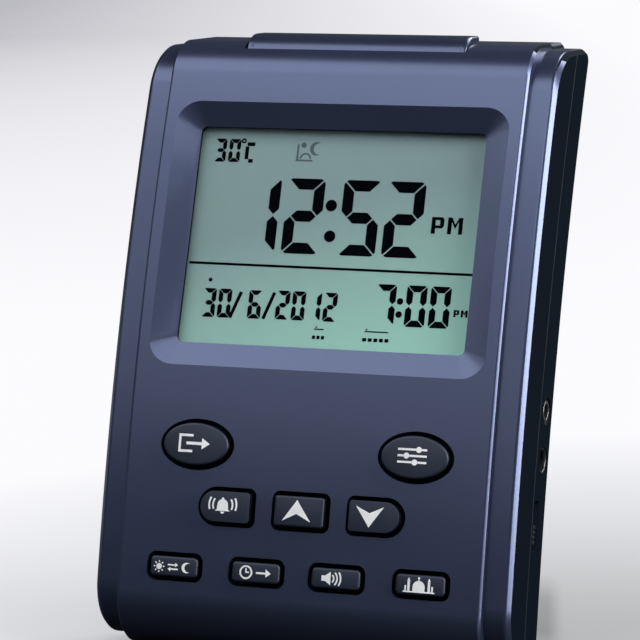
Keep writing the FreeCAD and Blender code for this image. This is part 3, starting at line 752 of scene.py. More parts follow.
class AzanFinishes(bpy.types.PropertyGroup):
    """Colours of the finished pieces."""

    case: colour("Case", "Colour of the front shell's paint and the light bar", (0.056, 0.074, 0.146))
    # The dark colour of the painted shade on the side walls, in the wells and on the keys' sides
    bare: colour("Bare plastic", "Colour of the side walls and the wells", (0.0024, 0.0050, 0.0092))
    rear: colour("Back", "Colour of the back, its door and the foot", (0.0090, 0.0130, 0.0250))
    key: colour("Keys", "Colour of the keys", (0.016, 0.024, 0.048))
    sign: colour("Signs", "Colour of the printing on the keys", (0.88, 0.90, 0.94))
    socket: colour("Sockets", "Colour of the sockets and the switch", (0.012, 0.013, 0.016))
    glass_low: colour("Display, low", "Colour of the display near its lower edge", (0.336, 0.665, 0.576))
    glass_high: colour("Display, high", "Colour of the display near its upper edge", (0.200, 0.306, 0.317))
    ink: colour("Digits", "Colour of the display's digits", (0.0008, 0.0012, 0.0025))


class AzanStage(bpy.types.PropertyGroup):
    """The floor, lamps and camera."""

    floor: colour("Floor", "Colour of the floor", (0.365, 0.377, 0.400))
    key_lamp: power("Main lamp", "Power of the main soft lamp", 12.4)
    side_lamp: power("Side lamp", "Power of the lamp on the right", 15.5)
    fill_lamp: power("Fill lamp", "Power of the weak lamp in front", 2.7)
    back_lamp: power("Back lamp", "Power of the lamp behind", 14.0)
    lens: FloatProperty(name="Lens", description="Focal length of the camera, in millimetres",
                        default=184.05, min=10.0)


class Making(bpy.types.Operator):
    """Builds pieces of the clock: make gets the sizes in millimetres, as the drawings have them"""

    bl_options = {"REGISTER", "UNDO"}

    def execute(self, context):
        group = context.scene.azan_sizes
        sizes = {key: round(getattr(group, key) / MM, 4) for key in group.__annotations__}
        self.make(SimpleNamespace(**sizes))
        return {"FINISHED"}


# ---- Shells ----

# Half widths on the shells' section, in millimetres: the field of key wells, the panel, the side walls,
# and from one to another, the long bevels of the panel and the rails, and the side walls' edges
WELLS_X, PANEL_X, WALL_X = 44.6, 45.0, 52.2
PANEL_BEVEL, RAIL_BEVEL, WALL_EDGE = (45.2, 46.0), (51.1, 51.5), (52.3, 60.0)
# The strips of those bevels that take painted shade at the top, which ends their highlight, and the rise of
# their normal there
SHADED_STRIPS, SHADED_RISE = ((44.6, 46.3), (51.2, 52.3)), 0.65
# Half width and half height of the bezel, and the depth below which its rim takes painted shade
BEZEL_HALF, BEZEL_SHADED = (43.5, 34.0), 2.98
# Heights of the field of wells and of the shell's floor and roof, and depths: of the wells' rim that keeps
# the case finish above the painted shade, of the skin's inner side, and of the skin with all that keeps the
# case finish on it
WELLS_Z, FLOOR_Z, ROOF_Z = (18.0, 66.0), 16.0, 140.5
RIM, INNER_SIDE, SKIN = 1.6, 2.1, 2.15
# Folds of the edges to round, and depths that hold those of the panel and of the rims on its face
STEEP, FOLDED, ON_PANEL, ON_FACE, BEZEL_TOP_Z = math.radians(35), math.radians(20), 0.05, 0.07, 139.0


def depth_at(spot):
    """Depth below the face of a place, in millimetres."""
    return FACE_RADIUS - bowed_way(spot)[1] / MM


def long_edges(inner, outer, deepest=1000.0):
    """A test for the sharp edges that run up a shell between two half widths, down to a depth."""
    def test(middle, way, fold):
        sharp = fold > STEEP and abs(way.x) < 0.5
        return sharp and inner < abs(middle.x) / MM < outer and depth_at(middle) < deepest
    return test


def well_rims(middle, way, fold):
    """Whether an edge runs round a key well or the bezel, on the face."""
    on_face = abs(middle.x) / MM < WELLS_X and depth_at(middle) < ON_FACE
    return on_face and middle.z / MM < BEZEL_TOP_Z and fold > FOLDED


def takes_painted_shade(spot, normal):
    """Whether a face of the front shell takes the dark plastic of painted shade: side walls, wells, window's
    rim, the top ends of the edge bevels, and inside.
    """
    depth, x, z = depth_at(spot), abs(spot.x) / MM, spot.z / MM
    local = face_place(DISPLAY_S).inverted() @ spot
    if abs(local.x) < BEZEL_HALF[0] and abs(local.y) < BEZEL_HALF[1]:
        return local.z < -BEZEL_SHADED
    on_strip = any(inner < x < outer for inner, outer in SHADED_STRIPS) and abs(normal.x) > 0.3
    if x > WALL_X or on_strip and normal.z > SHADED_RISE:
        return True
    on_outside = depth < SKIN or z > ROOF_Z or z < FLOOR_Z or x > PANEL_X
    in_well = depth > RIM and x < WELLS_X and WELLS_Z[0] < z < WELLS_Z[1]
    inward = depth > INNER_SIDE and normal.dot(bowed_way(spot)[0]) < -0.5
    return in_well or inward or not on_outside


def on_side_wall(spot, normal):
    return abs(spot.x) / MM > 51.2 and abs(normal.x) > 0.2


def on_seam(spot, normal):
    """Whether a face is the rear shell's rounded edge along the seam."""
    return abs(spot.x) / MM > 51.9 and 0.15 < abs(normal.x) < 0.99 and abs(depth_at(spot) - SEAM) < 0.6


class ShellsOperator(Making):
    """Finish the front and rear shells"""

    bl_idname = "azan.shells"
    bl_label = "Shells"

    def make(self, sizes):
        front = refined("front_shell", "front_housing")
        rear = refined("rear_shell", "rear_housing")
        for shell in (front, rear):
            bevelled(shell, sizes.shell_edge * MM, 3, long_edges(*WALL_EDGE))
            bevelled(shell, sizes.rail_edge * MM, 4, long_edges(*RAIL_BEVEL))
        bevelled(front, sizes.panel_edge * MM, 2, long_edges(*PANEL_BEVEL, deepest=ON_PANEL))
        bevelled(front, sizes.well_edge * MM, 2, well_rims)
        fitted(bow_shaded(front), "case", case_plastic(), "case_plastic", "front_housing")
        # Side walls, wells, the window's rim and the bevels' top ends are darkened with painted shade
        part_finish(front, bare_plastic(), takes_painted_shade)
        fitted(bow_shaded(rear), "case", rear_plastic(), "case_plastic", "rear_housing")
        # The rear shell's side walls take the same painted shade
        part_finish(rear, bare_plastic(), on_side_wall)
        # The seam's edge gets a lighter, glossier finish, a painted highlight
        part_finish(rear, seam_plastic(), on_seam)


# Radius and height of a case screw's head, half length and half width of its cross, the cross's floor,
# and the depth of the head's seat below the back
SCREW_HEAD, SCREW_CROSS, CROSS_FLOOR, SCREW_SEAT = (2.3, 1.7), (1.35, 0.28), 0.75, 4.0
SCREW_PLACES = [(x, s) for x in (-46.6, 46.6) for s in (12.5, 140.5)]


class ScrewsOperator(Making):
    """Make the four case screws in the back"""

    bl_idname = "azan.screws"
    bl_label = "Case screws"

    def make(self, sizes):
        radius, height = SCREW_HEAD
        long, short = SCREW_CROSS
        head = started("cylinder", "screw_head", vertices=32, radius=radius, depth=height,
                       location=(0, 0, height / 2))
        bevelled(head, 0.75, 5, lambda middle, way, fold: middle.z > height - 0.01)
        for x, y in ((long, short), (short, long)):
            cut(head, box("blade", (-x, -y, CROSS_FLOOR), (x, y, 2.5)))
        smoothed(head, 35.0)
        for number, (x, s) in enumerate(SCREW_PLACES, 1):
            screw = placed(copied(head, "case_screw_%d" % number), back_place(s, x, PANEL_BACK - SCREW_SEAT))
            fitted(screw, "case", screw_steel(), "contact_steel")
        bpy.data.objects.remove(head)


# ---- Display ----

# The lit bars of the figures that the display shows, lettered clockwise from the top one, g in the middle
SEGMENTS = {"0": "abcdef", "1": "bc", "2": "abged", "3": "abgcd", "5": "afgcd", "6": "afgedc", "7": "abc"}


def segment_outlines(figure, left, base, width, height, stroke, gap):
    """The lit bars of one figure, mitred where they meet."""
    right, top, middle = left + width, base + height, base + height / 2
    half, blunt, nick, cut_in = stroke / 2, stroke * 0.33, stroke * 0.12, gap * 0.7
    inner_left, inner_right = left + stroke + cut_in, right - stroke - cut_in
    end = [(blunt + cut_in, 0), (nick + cut_in, nick), (stroke + cut_in, stroke)]
    level = end[:1] + [(width - x, y) for x, y in end] + end[:0:-1]
    upper = [(0, top - cut_in - blunt), (nick, top - cut_in - nick), (stroke, top - stroke - cut_in),
             (stroke, middle + half + cut_in), (half, middle + cut_in), (0, middle + half + cut_in)]
    lower = [(x, 2 * middle - y) for x, y in upper]
    rows = {
        "a": [(left + x, top - y) for x, y in level],
        "b": [(right - x, y) for x, y in upper],
        "c": [(right - x, y) for x, y in lower],
        "d": [(left + x, base + y) for x, y in level],
        "e": [(left + x, y) for x, y in lower],
        "f": [(left + x, y) for x, y in upper],
        "g": [(left + half + cut_in, middle), (inner_left, middle + half), (inner_right, middle + half),
              (right - half - cut_in, middle), (inner_right, middle - half), (inner_left, middle - half)],
    }
    return [rows[letter] for letter in SEGMENTS[figure]]


def figures(text, left, base, width, height, stroke, pitch, gap):
    """A run of figures."""
    outlines = []
    for number, figure in enumerate(text):
        outlines += segment_outlines(figure, left + number * pitch, base, width, height, stroke, gap)
    return outlines


def letters_pm(left, base, width, height, stroke):
    """The sign for the second half of the day."""
    top, half, thin, dip = base + height, stroke / 2, stroke * 0.72, height * 0.42
    p_right, p_mid = left + width * 0.4, base + dip
    m_left, m_right = left + width * 0.52, left + width
    m_mid, corner = (m_left + m_right) / 2, stroke * 0.4
    return [
        bar_line(left + half, base, left + half, top, stroke),
        bar_line(left + stroke, top - thin / 2, p_right - stroke, top - thin / 2, thin),
        bar_line(left + stroke, p_mid, p_right - stroke, p_mid, thin),
        [(p_right - stroke, top), (p_right - corner, top), (p_right, top - stroke * 0.6),
         (p_right, p_mid + stroke * 0.24), (p_right - corner, p_mid - thin / 2),
         (p_right - stroke, p_mid - thin / 2)],
        bar_line(m_left + half, base, m_left + half, top, stroke),
        bar_line(m_right - half, base, m_right - half, top, stroke),
        [(m_left + stroke, top), (m_mid, top - dip), (m_right - stroke, top),
         (m_right - stroke, top - stroke), (m_mid, top - dip - stroke * 1.1),
         (m_left + stroke, top - stroke)],
    ]


def time_figures(sizes):
    """The clock's four figures and the colon between them."""
    outlines = []
    for figure, left in (("1", -24.45), ("2", -13.15), ("5", 1.3), ("2", 12.5)):
        outlines += segment_outlines(figure, left, -3.6, sizes.digit_width, sizes.digit_height,
                                     sizes.digit_stroke, 0.34)
    return outlines + [disc(-1.45, 8.6, 1.45, 28), disc(-1.0, 1.0, 1.45, 28)]


def temperature_figures():
    """Two small figures, the ring for degrees and a plain C."""
    bars = ((-24.9, 23.3, -22.9, 23.3), (-24.85, 22.7, -24.85, 19.5), (-24.3, 19.1, -23.1, 19.1))
    outlines = figures("30", -33.3, 18.7, 3.0, 5.8, 1.0, 3.7, 0.12) + ring_halves(-25.9, 24.1, 0.45, 0.4)
    return outlines + [bar_line(*bar, 0.95) for bar in bars]


def date_figures():
    """The date, with slanted strokes between its parts and a dot above."""
    stroke, gap = 1.15, 0.14
    outlines = figures("30", -31.8, -20.15, 3.4, 7.15, stroke, 4.05, gap)
    outlines += [bar_line(-24.3, -20.1, -22.0, -13.6, 0.85)]
    outlines += figures("6", -19.9, -20.05, 3.4, 7.0, stroke, 4.1, gap)
    outlines += [bar_line(-15.7, -20.0, -13.4, -13.4, 0.85)]
    outlines += figures("2012", -12.7, -19.95, 3.4, 7.1, stroke, 4.05, gap)
    return outlines + [disc(-30.4, -10.9, 0.5, 14)]


def call_figures():
    """The time of the next call."""
    stroke, gap = 1.6, 0.2
    outlines = figures("7", 12.4, -20.1, 5.1, 9.9, stroke, 0.0, gap)
    outlines += [disc(18.6, -14.2, 0.82, 18), disc(18.6, -17.4, 0.82, 18)]
    return outlines + figures("00", 20.1, -20.3, 5.1, 10.1, stroke, 6.0, gap)


def day_marks():
    """Two rows of plain strokes in the place of small words."""
    outlines = []
    for left, count, pitch in ((-2.6, 3, 1.15), (10.2, 5, 1.4)):
        for number in range(count):
            start = left + number * pitch
            outlines.append(bar_line(start, -23.9, start + pitch * 0.68, -23.9, 0.85))
        outlines.append(bar_line(left + 0.3, -21.9, left + count * pitch - 0.7, -21.9, 0.3))
        outlines.append(disc(left + 0.8, -21.4, 0.22, 10))
    return outlines


def moon_mark():
    """A faint moon beside a dome with a post."""
    return [crescent(-6.9, 22.6, 1.7), bar_line(-12.0, 19.6, -7.6, 19.6, 0.45),
            bar_line(-11.6, 19.6, -11.6, 23.6, 0.5), arc_stroke(-9.5, 20.0, 1.3, 0.45, 0, 180),
            disc(-10.2, 23.4, 0.7, 14)]


class DisplayOperator(Making):
    """Print the figures and marks of the display"""

    bl_idname = "azan.display"
    bl_label = "Display"

    def make(self, sizes):
        groups = {
            "time_figures": time_figures(sizes),
            "half_day_sign": letters_pm(24.4, 2.6, 7.8, 4.1, 1.0),
            "rule_line": [bar_line(-36.45, -6.8, 36.45, -7.05, 0.62)],
            "temperature_figures": temperature_figures(),
            "date_figures": date_figures(),
            "call_time_figures": call_figures(),
            "small_half_day_sign": letters_pm(32.2, -17.4, 3.5, 1.7, 0.54),
            "day_marks": day_marks(),
            "moon_mark": moon_mark(),
        }
        on_glass = face_place(DISPLAY_S) @ Matrix.Translation((0, 0, GLASS_FRONT - 0.02))
        for name, outlines in groups.items():
            ink = display_grey if name == "moon_mark" else display_ink
            fitted(placed(plates(name, outlines, 0.06), on_glass), "case", ink(), "lcd_ink")


class WindowOperator(Making):
    """Finish the display's glass and its clear window"""

    bl_idname = "azan.window"
    bl_label = "Window and glass"

    def make(self, sizes):
        refinish(display_glass, "lcd_glass")
        refinish(lens_clear, "display_window")


def refinish(finish, *nodes):
    """Give frame pieces a better material."""
    for node in nodes:
        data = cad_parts[node].data
        data.materials.clear()
        data.materials.append(finish())


# ---- Keys ----

# Each key's place up and across the face, the size of its well, and the radii of the well's left and right
# corners, where it isn't an oval
OVAL, MIDDLE, LOWER = (18.9, 12.4), (14.7, 9.5), (14.3, 7.0)
KEYS = {
    "key_exit": (52.5, -27.6, OVAL, None),
    "key_set": (52.5, 27.6, OVAL, None),
    "key_alarm": (38.0, -18.8, MIDDLE, (4.75, 1.9)),
    "key_up": (38.0, 0.0, MIDDLE, (1.9, 1.9)),
    "key_down": (38.0, 18.8, MIDDLE, (1.9, 4.75)),
    "key_calendar": (22.9, -31.05, LOWER, (2.2, 2.2)),
    "key_delay": (22.9, -10.1, LOWER, (2.2, 2.2)),
    "key_sound": (22.9, 10.1, LOWER, (2.2, 2.2)),
    "key_azan": (22.9, 31.05, LOWER, (2.2, 2.2)),
}
# A key's flange and stem: their heights off the face, the flange's reach past the well and half the stem's
# width, and how far the pieces of a key overlap
FLANGE_TOP, FLANGE_BASE, FLANGE_RIM = -2.3, -3.3, 0.9
STEM_BASE, STEM_HALF, OVERLAP = -5.0, 1.8, 0.2


def proud_of(size, sizes):
    """How far a key of a size stands out of the face."""
    return sizes.low_key_proud if size == LOWER else sizes.key_proud


def crowned(piece, crown, above, lift=0.0):
    """Lift what is above a height in a drawing, and sink it to both sides as the keys' crown does."""
    for vertex in piece.data.vertices:
        if vertex.co.z > above:
            vertex.co.z += lift - vertex.co.x ** 2 / (2 * crown)


def key_blank(name, size, corners, sizes):
    """A key's outline as one flat face, at the flange."""
    half_w, half_h = size[0] / 2 - sizes.key_gap, size[1] / 2 - sizes.key_gap
    if corners is None:
        blank = started("circle", name, vertices=64, radius=1.0, fill_type="NGON")
        scale = (half_w, half_h, 1.0)
    else:
        blank = started("plane", name, size=1.0)
        scale = (2 * half_w, 2 * half_h, 1.0)
    shaping(blank, "VERT")
    choose_all()
    bpy.ops.transform.resize(value=scale)
    bpy.ops.transform.translate(value=(0, 0, FLANGE_TOP - OVERLAP))
    for side, radius in zip((-1, 1), corners or ()):
        choose(blank, "verts",
               lambda spot, normal: spot.x * side > half_w - 0.01 and abs(spot.y) > half_h - 0.01)
        bpy.ops.mesh.bevel(offset=(radius - sizes.key_gap) * 0.999, segments=10, affect="VERTICES",
                           clamp_overlap=True)
    shaped()
    return blank


class KeysOperator(Making):
    """Model the nine keys with their flanges and stems"""

    bl_idname = "azan.keys"
    bl_label = "Keys"

    def make(self, sizes):
        for name, (s, x, size, corners) in KEYS.items():
            cap = key_blank(name + "_cap", size, corners, sizes)
            top = proud_of(size, sizes)
            raise_faces(cap, lambda middle, normal: True, (0, 0, top - FLANGE_TOP + OVERLAP))
            bevelled(cap, sizes.key_edge, 4, lambda middle, way, fold: middle.z > top - 1e-3)
            shaping(cap)
            faced_outward()
            shaped()
            sliced(cap, 1.0, size[0] / 2)
            crowned(cap, sizes.key_crown, 0.0)
            wide, high = (side / 2 + FLANGE_RIM for side in size)
            flange = box("flange", (-wide, -high, FLANGE_BASE), (wide, high, FLANGE_TOP))
            stem = box("stem", (-STEM_HALF, -STEM_HALF, STEM_BASE),
                       (STEM_HALF, STEM_HALF, FLANGE_BASE + OVERLAP))
            key = smoothed(joined(cap, flange, stem), 35.0)
            fitted(key, name, key_plastic(), "key_plastic", name)
            # The flange, the stem and the caps' steep sides take painted shade, so that the moats and the
            # caps' flanks look dark
            part_finish(key, bare_plastic(), lambda middle, normal: middle.z < -1.0 or abs(normal.z) < 0.45)
            placed(key, face_place(s, x))


# ---- Signs of the keys: plain drawings in millimetres, with no words ----

def arrow_head(tip_y, base_y, notch_y, half):
    return [(0.0, tip_y), (-half, base_y), (0.0, notch_y), (half, base_y)]


def pointer(tip_x, base_x, y, half):
    """A solid triangle that points along the face."""
    return [(base_x, y + half), (base_x, y - half), (tip_x, y)]


def door_sign():
    """A doorway with an arrow out of it."""
    bars = ((-0.2, 1.9, -3.6, 1.9, 0.6), (-3.6, 2.2, -3.6, -2.2, 0.6), (-3.6, -1.9, -0.2, -1.9, 0.6),
            (-1.9, 0.0, 2.4, 0.0, 0.7))
    return [bar_line(*bar) for bar in bars] + [pointer(4.1, 2.1, 0.0, 1.35)]


def sliders_sign():
    """Three sliders, each with its knob at another place."""
    outlines = []
    for level, spot in ((1.5, 1.6), (0.0, -1.4), (-1.5, 0.7)):
        outlines += [bar_line(-3.6, level, spot - 0.75, level, 0.5),
                     bar_line(spot + 0.75, level, 3.6, level, 0.5), disc(spot, level, 0.72, 18)]
    return outlines


def bell_sign():
    """A bell that rings to both sides."""
    lip = [(-1.45, -0.9), (-1.95, -1.25), (1.95, -1.25), (1.45, -0.9)]
    outlines = [arc_points(0, 0.25, 1.35, 0, 180, 12) + lip, arc_points(0, -1.4, 0.5, 180, 360, 8),
                disc(0, 1.72, 0.28, 10)]
    for radius, turns in ((2.5, ((145, 205), (-25, 35))), (3.5, ((150, 200), (-20, 30)))):
        outlines += [arc_stroke(0, 0.2, radius, 0.42, *turn, 8) for turn in turns]
    return outlines


def dates_sign():
    """A sun and a moon, changed one for the other."""
    sun_x, inner, outer = -3.6, 1.0, 1.42
    rays = []
    for turn in (math.radians(45 * number) for number in range(8)):
        x, y = math.cos(turn), math.sin(turn)
        rays += [bar_line(sun_x + inner * x, inner * y, sun_x + outer * x, outer * y, 0.3)]
    swap = [bar_line(-1.3, 0.5, 0.7, 0.5, 0.36), [(0.6, 1.05), (0.6, 0.0), (1.35, 0.5)],
            bar_line(1.3, -0.5, -0.7, -0.5, 0.36), [(-0.6, -1.05), (-0.6, 0.0), (-1.35, -0.5)]]
    return [disc(sun_x, 0, 0.74, 18)] + rays + swap + [crescent(3.5, 0.0, 1.25)]


def wait_sign():
    """A dial and an arrow to a later time."""
    hands = [bar_line(-1.7, -0.1, -1.7, 0.95, 0.36), bar_line(-1.8, 0.0, -0.9, 0.0, 0.36)]
    arrow = [bar_line(0.9, 0.0, 3.9, 0.0, 0.45), pointer(4.6, 3.3, 0.0, 0.95)]
    return ring_halves(-1.7, 0.0, 1.45, 0.42) + hands + arrow


def speaker_sign():
    """A loudspeaker with three waves."""
    horn = [bar_line(-3.2, 0, -2.2, 0, 1.3), [(-2.25, 0.65), (-2.25, -0.65), (-0.9, -1.6), (-0.9, 1.6)]]
    waves = ((1.2, 45), (2.05, 45), (2.9, 33))
    return horn + [arc_stroke(-1.3, 0, radius, 0.38, -turn, turn, 10) for radius, turn in waves]


def dome_sign():
    """A dome between two towers and two posts, on a ground line."""
    outlines = [arc_points(0, -0.6, 1.5, 0, 180, 14) + [(-1.5, -1.6), (1.5, -1.6)],
                bar_line(0, 0.8, 0, 1.35, 0.3), disc(0, 1.5, 0.3, 10)]
    for side in (-1, 1):
        tower, post = side * 2.5, side * 3.3
        outlines += [bar_line(tower, -1.6, tower, 0.7, 0.6),
                     [(tower - 0.38, 0.75), (tower + 0.38, 0.75), (tower, 1.6)],
                     bar_line(post, -1.6, post, -0.3, 0.4)]
    return outlines + [bar_line(-3.9, -1.75, 3.9, -1.75, 0.32)]


def up_sign():
    return [arrow_head(2.75, -2.35, -0.55, 3.6)]


def down_sign():
    return [arrow_head(-2.55, 2.4, 0.8, 3.5)]


# How deep the printing sits in a key's top
PRINT_SINK = 0.004
# Each key's sign, and how far it lies off the key's middle
SIGNS = {
    "key_exit": (door_sign, -0.3, 0.1),
    "key_set": (sliders_sign, -0.4, 0.3),
    "key_alarm": (bell_sign, -0.4, 0.2),
    "key_up": (up_sign, -0.4, 0.0),
    "key_down": (down_sign, -1.0, 0.0),
    "key_calendar": (dates_sign, -0.1, -0.1),
    "key_delay": (wait_sign, -0.6, 0.0),
    "key_sound": (speaker_sign, -0.2, 0.0),
    "key_azan": (dome_sign, -0.2, 0.12),
}


class SignsOperator(Making):
    """Print a white sign on each key"""

    bl_idname = "azan.signs"
    bl_label = "Key signs"

    def make(self, sizes):
        for name, (outlines, off_x, off_y) in SIGNS.items():
            s, x, size = KEYS[name][:3]
            sign = placed(plates(name + "_sign", outlines(), sizes.print_height),
                          Matrix.Translation((off_x, off_y, 0.0)))
            sliced(sign, 1.0, 6.0)
            crowned(sign, sizes.key_crown, -1.0, proud_of(size, sizes) - PRINT_SINK)
            placed(sign, face_place(s, x))
            fitted(sign, name, key_print(), "key_print")


# ---- Light bar ----

# In millimetres: the light bar's half width and depth, the height of its base, its wall and roof, and how
# far its hollow keeps off the rounded front under the roof; then its tabs and its posts
BAR_HALF, BAR_DEEP, BAR_BASE, BAR_WALL, BAR_ROOF, BAR_THROAT = 28.4, 11.6, 140.6, 1.6, 2.4, 2.0
TABS_X, TAB_WIDE, TAB_Y, TAB_Z = (-30.0, 27.4), 2.6, (1.2, 5.2), (142.9, 144.1)
POSTS_X, POST_HALF, POST_BASE, POST_IN = (-18.0, 18.0), 1.8, 141.7, 0.8


class LightBarOperator(Making):
    """Model the long key on top"""

    bl_idname = "azan.light_bar"
    bl_label = "Light bar"

    def make(self, sizes):
        low, high = (Vector(corner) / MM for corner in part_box("light_bar"))
        front, top = low.y, high.z
        bar = box("light_bar_cap", (-BAR_HALF, front, BAR_BASE), (BAR_HALF, front + BAR_DEEP, top))
        bevelled(bar, sizes.bar_round, 10,
                 lambda middle, way, fold: middle.z > top - 1e-3 and middle.y < front + 1e-3)
        bevelled(bar, 0.75, 4,
                 lambda middle, way, fold: abs(middle.x) > BAR_HALF - 1e-3 and middle.z > BAR_BASE + 1e-3)
        sliced(bar, 9.0, 27.0)
        shaping(bar)
        choose(bar, "faces", lambda middle, normal: normal.z < -0.9)
        bpy.ops.mesh.inset(thickness=BAR_WALL)
        roof = top - BAR_ROOF
        bpy.ops.mesh.extrude_region_move(TRANSFORM_OT_translate={"value": (0, 0, roof - BAR_BASE)})
        choose(bar, "verts",
               lambda spot, normal: abs(spot.z - roof) < 0.01 and abs(spot.y - front - BAR_WALL) < 0.01)
        bpy.ops.transform.translate(value=(0, BAR_THROAT, 0))
        shaped()
        y = front + BAR_DEEP / 2
        tabs = [box("tab", (x, y + TAB_Y[0], TAB_Z[0]), (x + TAB_WIDE, y + TAB_Y[1], TAB_Z[1]))
                for x in TABS_X]
        posts = [box("post", (x - POST_HALF, y - POST_HALF, POST_BASE),
                     (x + POST_HALF, y + POST_HALF, top - POST_IN)) for x in POSTS_X]
        smoothed(joined(bar, *tabs, *posts), 32.0)
        placed(bar, Matrix.Scale(MM, 4))
        fitted(bar, "light_bar", bar_plastic(), "bar_plastic", "light_bar")


# ---- Sockets and switch ----

# Where the rings start across the clock, and the places of the two sockets behind and up it
RING_X, EARPHONE_YZ, SUPPLY_YZ = 51.7, (-2.45, 60.19), (-5.25, 48.83)


def side_ring(name, outer, inner, high, spot):
    """A turned ring on an axis out of the right wall."""
    def turned(title, radius, depth):
        return started("cylinder", title, vertices=48, radius=radius, depth=depth,
                       rotation=(0, math.pi / 2, 0), location=((RING_X + high) / 2, 0, 0))
    deep = high - RING_X
    ring = cut(turned(name, outer, deep), turned("hole", inner, 4.0 * deep))
    bevelled(ring, 0.12, 3, lambda middle, way, fold: middle.x > high - 1e-3)
    smoothed(ring, 35.0)
    placed(ring, Matrix.Scale(MM, 4) @ Matrix.Translation((0, *spot)))
    return fitted(ring, "case", socket_metal(), "contact_steel")


class SocketsOperator(Making):
    """Finish the two sockets, the slide switch and its knob"""

    bl_idname = "azan.sockets"
    bl_label = "Sockets and switch"

    def make(self, sizes):
        side_ring("earphone_ring", 2.4, 1.8, 52.35, EARPHONE_YZ)
        side_ring("supply_ring", 2.95, 2.7, 52.3, SUPPLY_YZ)
        refinish(socket_plastic, "earphone_socket", "supply_socket", "slide_switch")
        knob = refined("slide_knob_cap", "slide_knob")
        bevelled(knob, 0.12 * MM, 2, lambda middle, way, fold: middle.x / MM > 52.1)
        smoothed(knob, 35.0)
        fitted(knob, "slide_knob", socket_plastic(), "socket_plastic", "slide_knob")


# ---- Back ----

# The door's grip: half length and half width of a rib, the first one's place up the back, and their pitch
RIB_HALF, DOOR_GRIP_S, RIB_PITCH = (7.0, 0.35), 97.5, 1.8


class BatteryOperator(Making):
    """Finish the battery door with its grip ribs, the cells and the contacts"""

    bl_idname = "azan.battery"
    bl_label = "Battery door and cells"

    def make(self, sizes):
        door = bow_shaded(refined("battery_door_plate", "battery_door"))
        fitted(door, "battery_door", rear_plastic(), "case_plastic", "battery_door")
        long, short = RIB_HALF
        rib = box("rib", (-long, -short, -0.3), (long, short, 0.35))
        bevelled(rib, 0.3, 3, lambda middle, way, fold: middle.z > -0.29)
        smoothed(rib, 35.0)
        for number in range(4):
            grip = copied(rib, "door_grip_%d" % (number + 1))
            placed(grip, back_place(DOOR_GRIP_S - RIB_PITCH * number))
            fitted(grip, "battery_door", rear_plastic(), "case_plastic")
        bpy.data.objects.remove(rib)
        refinish(cell_jacket, "batteries")
        refinish(contact_steel, "battery_contacts")


class SpeakerOperator(Making):
    """Finish the loudspeaker's basket and its cone"""

    bl_idname = "azan.speaker"
    bl_label = "Loudspeaker"

    def make(self, sizes):
        refinish(speaker_steel, "speaker")
        refinish(speaker_paper, "speaker_cone")


class FootOperator(Making):
    """Finish the flip-out foot, its pin and the rubber pads"""

    bl_idname = "azan.foot"
    bl_label = "Foot and pads"

    def make(self, sizes):
        foot = smoothed(refined("flip_foot", "stand"), 30.0)
        fitted(foot, "foot", rear_plastic(), "case_plastic", "stand")
        refinish(foot_rubber, "stand_pad", "base_feet")
        refinish(contact_steel, "stand_pin")


class InsideOperator(Making):
    """Finish the boards and the small parts inside the case"""

    bl_idname = "azan.inside"
    bl_label = "Inside"

    def make(self, sizes):
        refinish(circuit_board, "main_board", "keypad_board", "jack_board", "light_bar_board")
        refinish(socket_plastic, "light_bar_switches")
        refinish(holder_plastic, "lcd_holder")
        refinish(lamp_clear, "backlight_leds")
        refinish(diffuser_acrylic, "backlight_diffuser")
        refinish(keypad_rubber, "elastomer_strips", "rubber_keypad")
        refinish(ribbon_film, "ribbon_lead")


# ---- Stage ----

EYE = Vector((0.2651, -0.7447, 0.1836))
AHEAD = Vector((-0.3391, 0.9317, -0.1305)).normalized()
SIDE = Vector((0.9397, 0.3420, 0.0)).normalized()
PALE, SOFT_SKY, SKY_STRENGTH = (0.97, 0.97, 1.0), (0.85, 0.88, 1.0), 0.04


def lamp(name, watts, width, height, azimuth, elevation, distance, tint=(1.0, 1.0, 1.0)):
    """A soft lamp, placed by its direction from the clock, turned from straight ahead."""
    turn, rise = math.radians(azimuth), math.radians(elevation)
    way = Vector((math.sin(turn) * math.cos(rise), -math.cos(turn) * math.cos(rise), math.sin(rise)))
    bpy.ops.object.light_add(type="AREA", location=Vector((0, 0, 0.08)) + way * distance)
    made = bpy.context.object
    made.name = name
    made.rotation_euler = way.to_track_quat("Z", "Y").to_euler()
    made.data.shape = "RECTANGLE"
    made.data.size, made.data.size_y = width, height
    made.data.energy = watts
    made.data.color = tint
    made.visible_camera = False


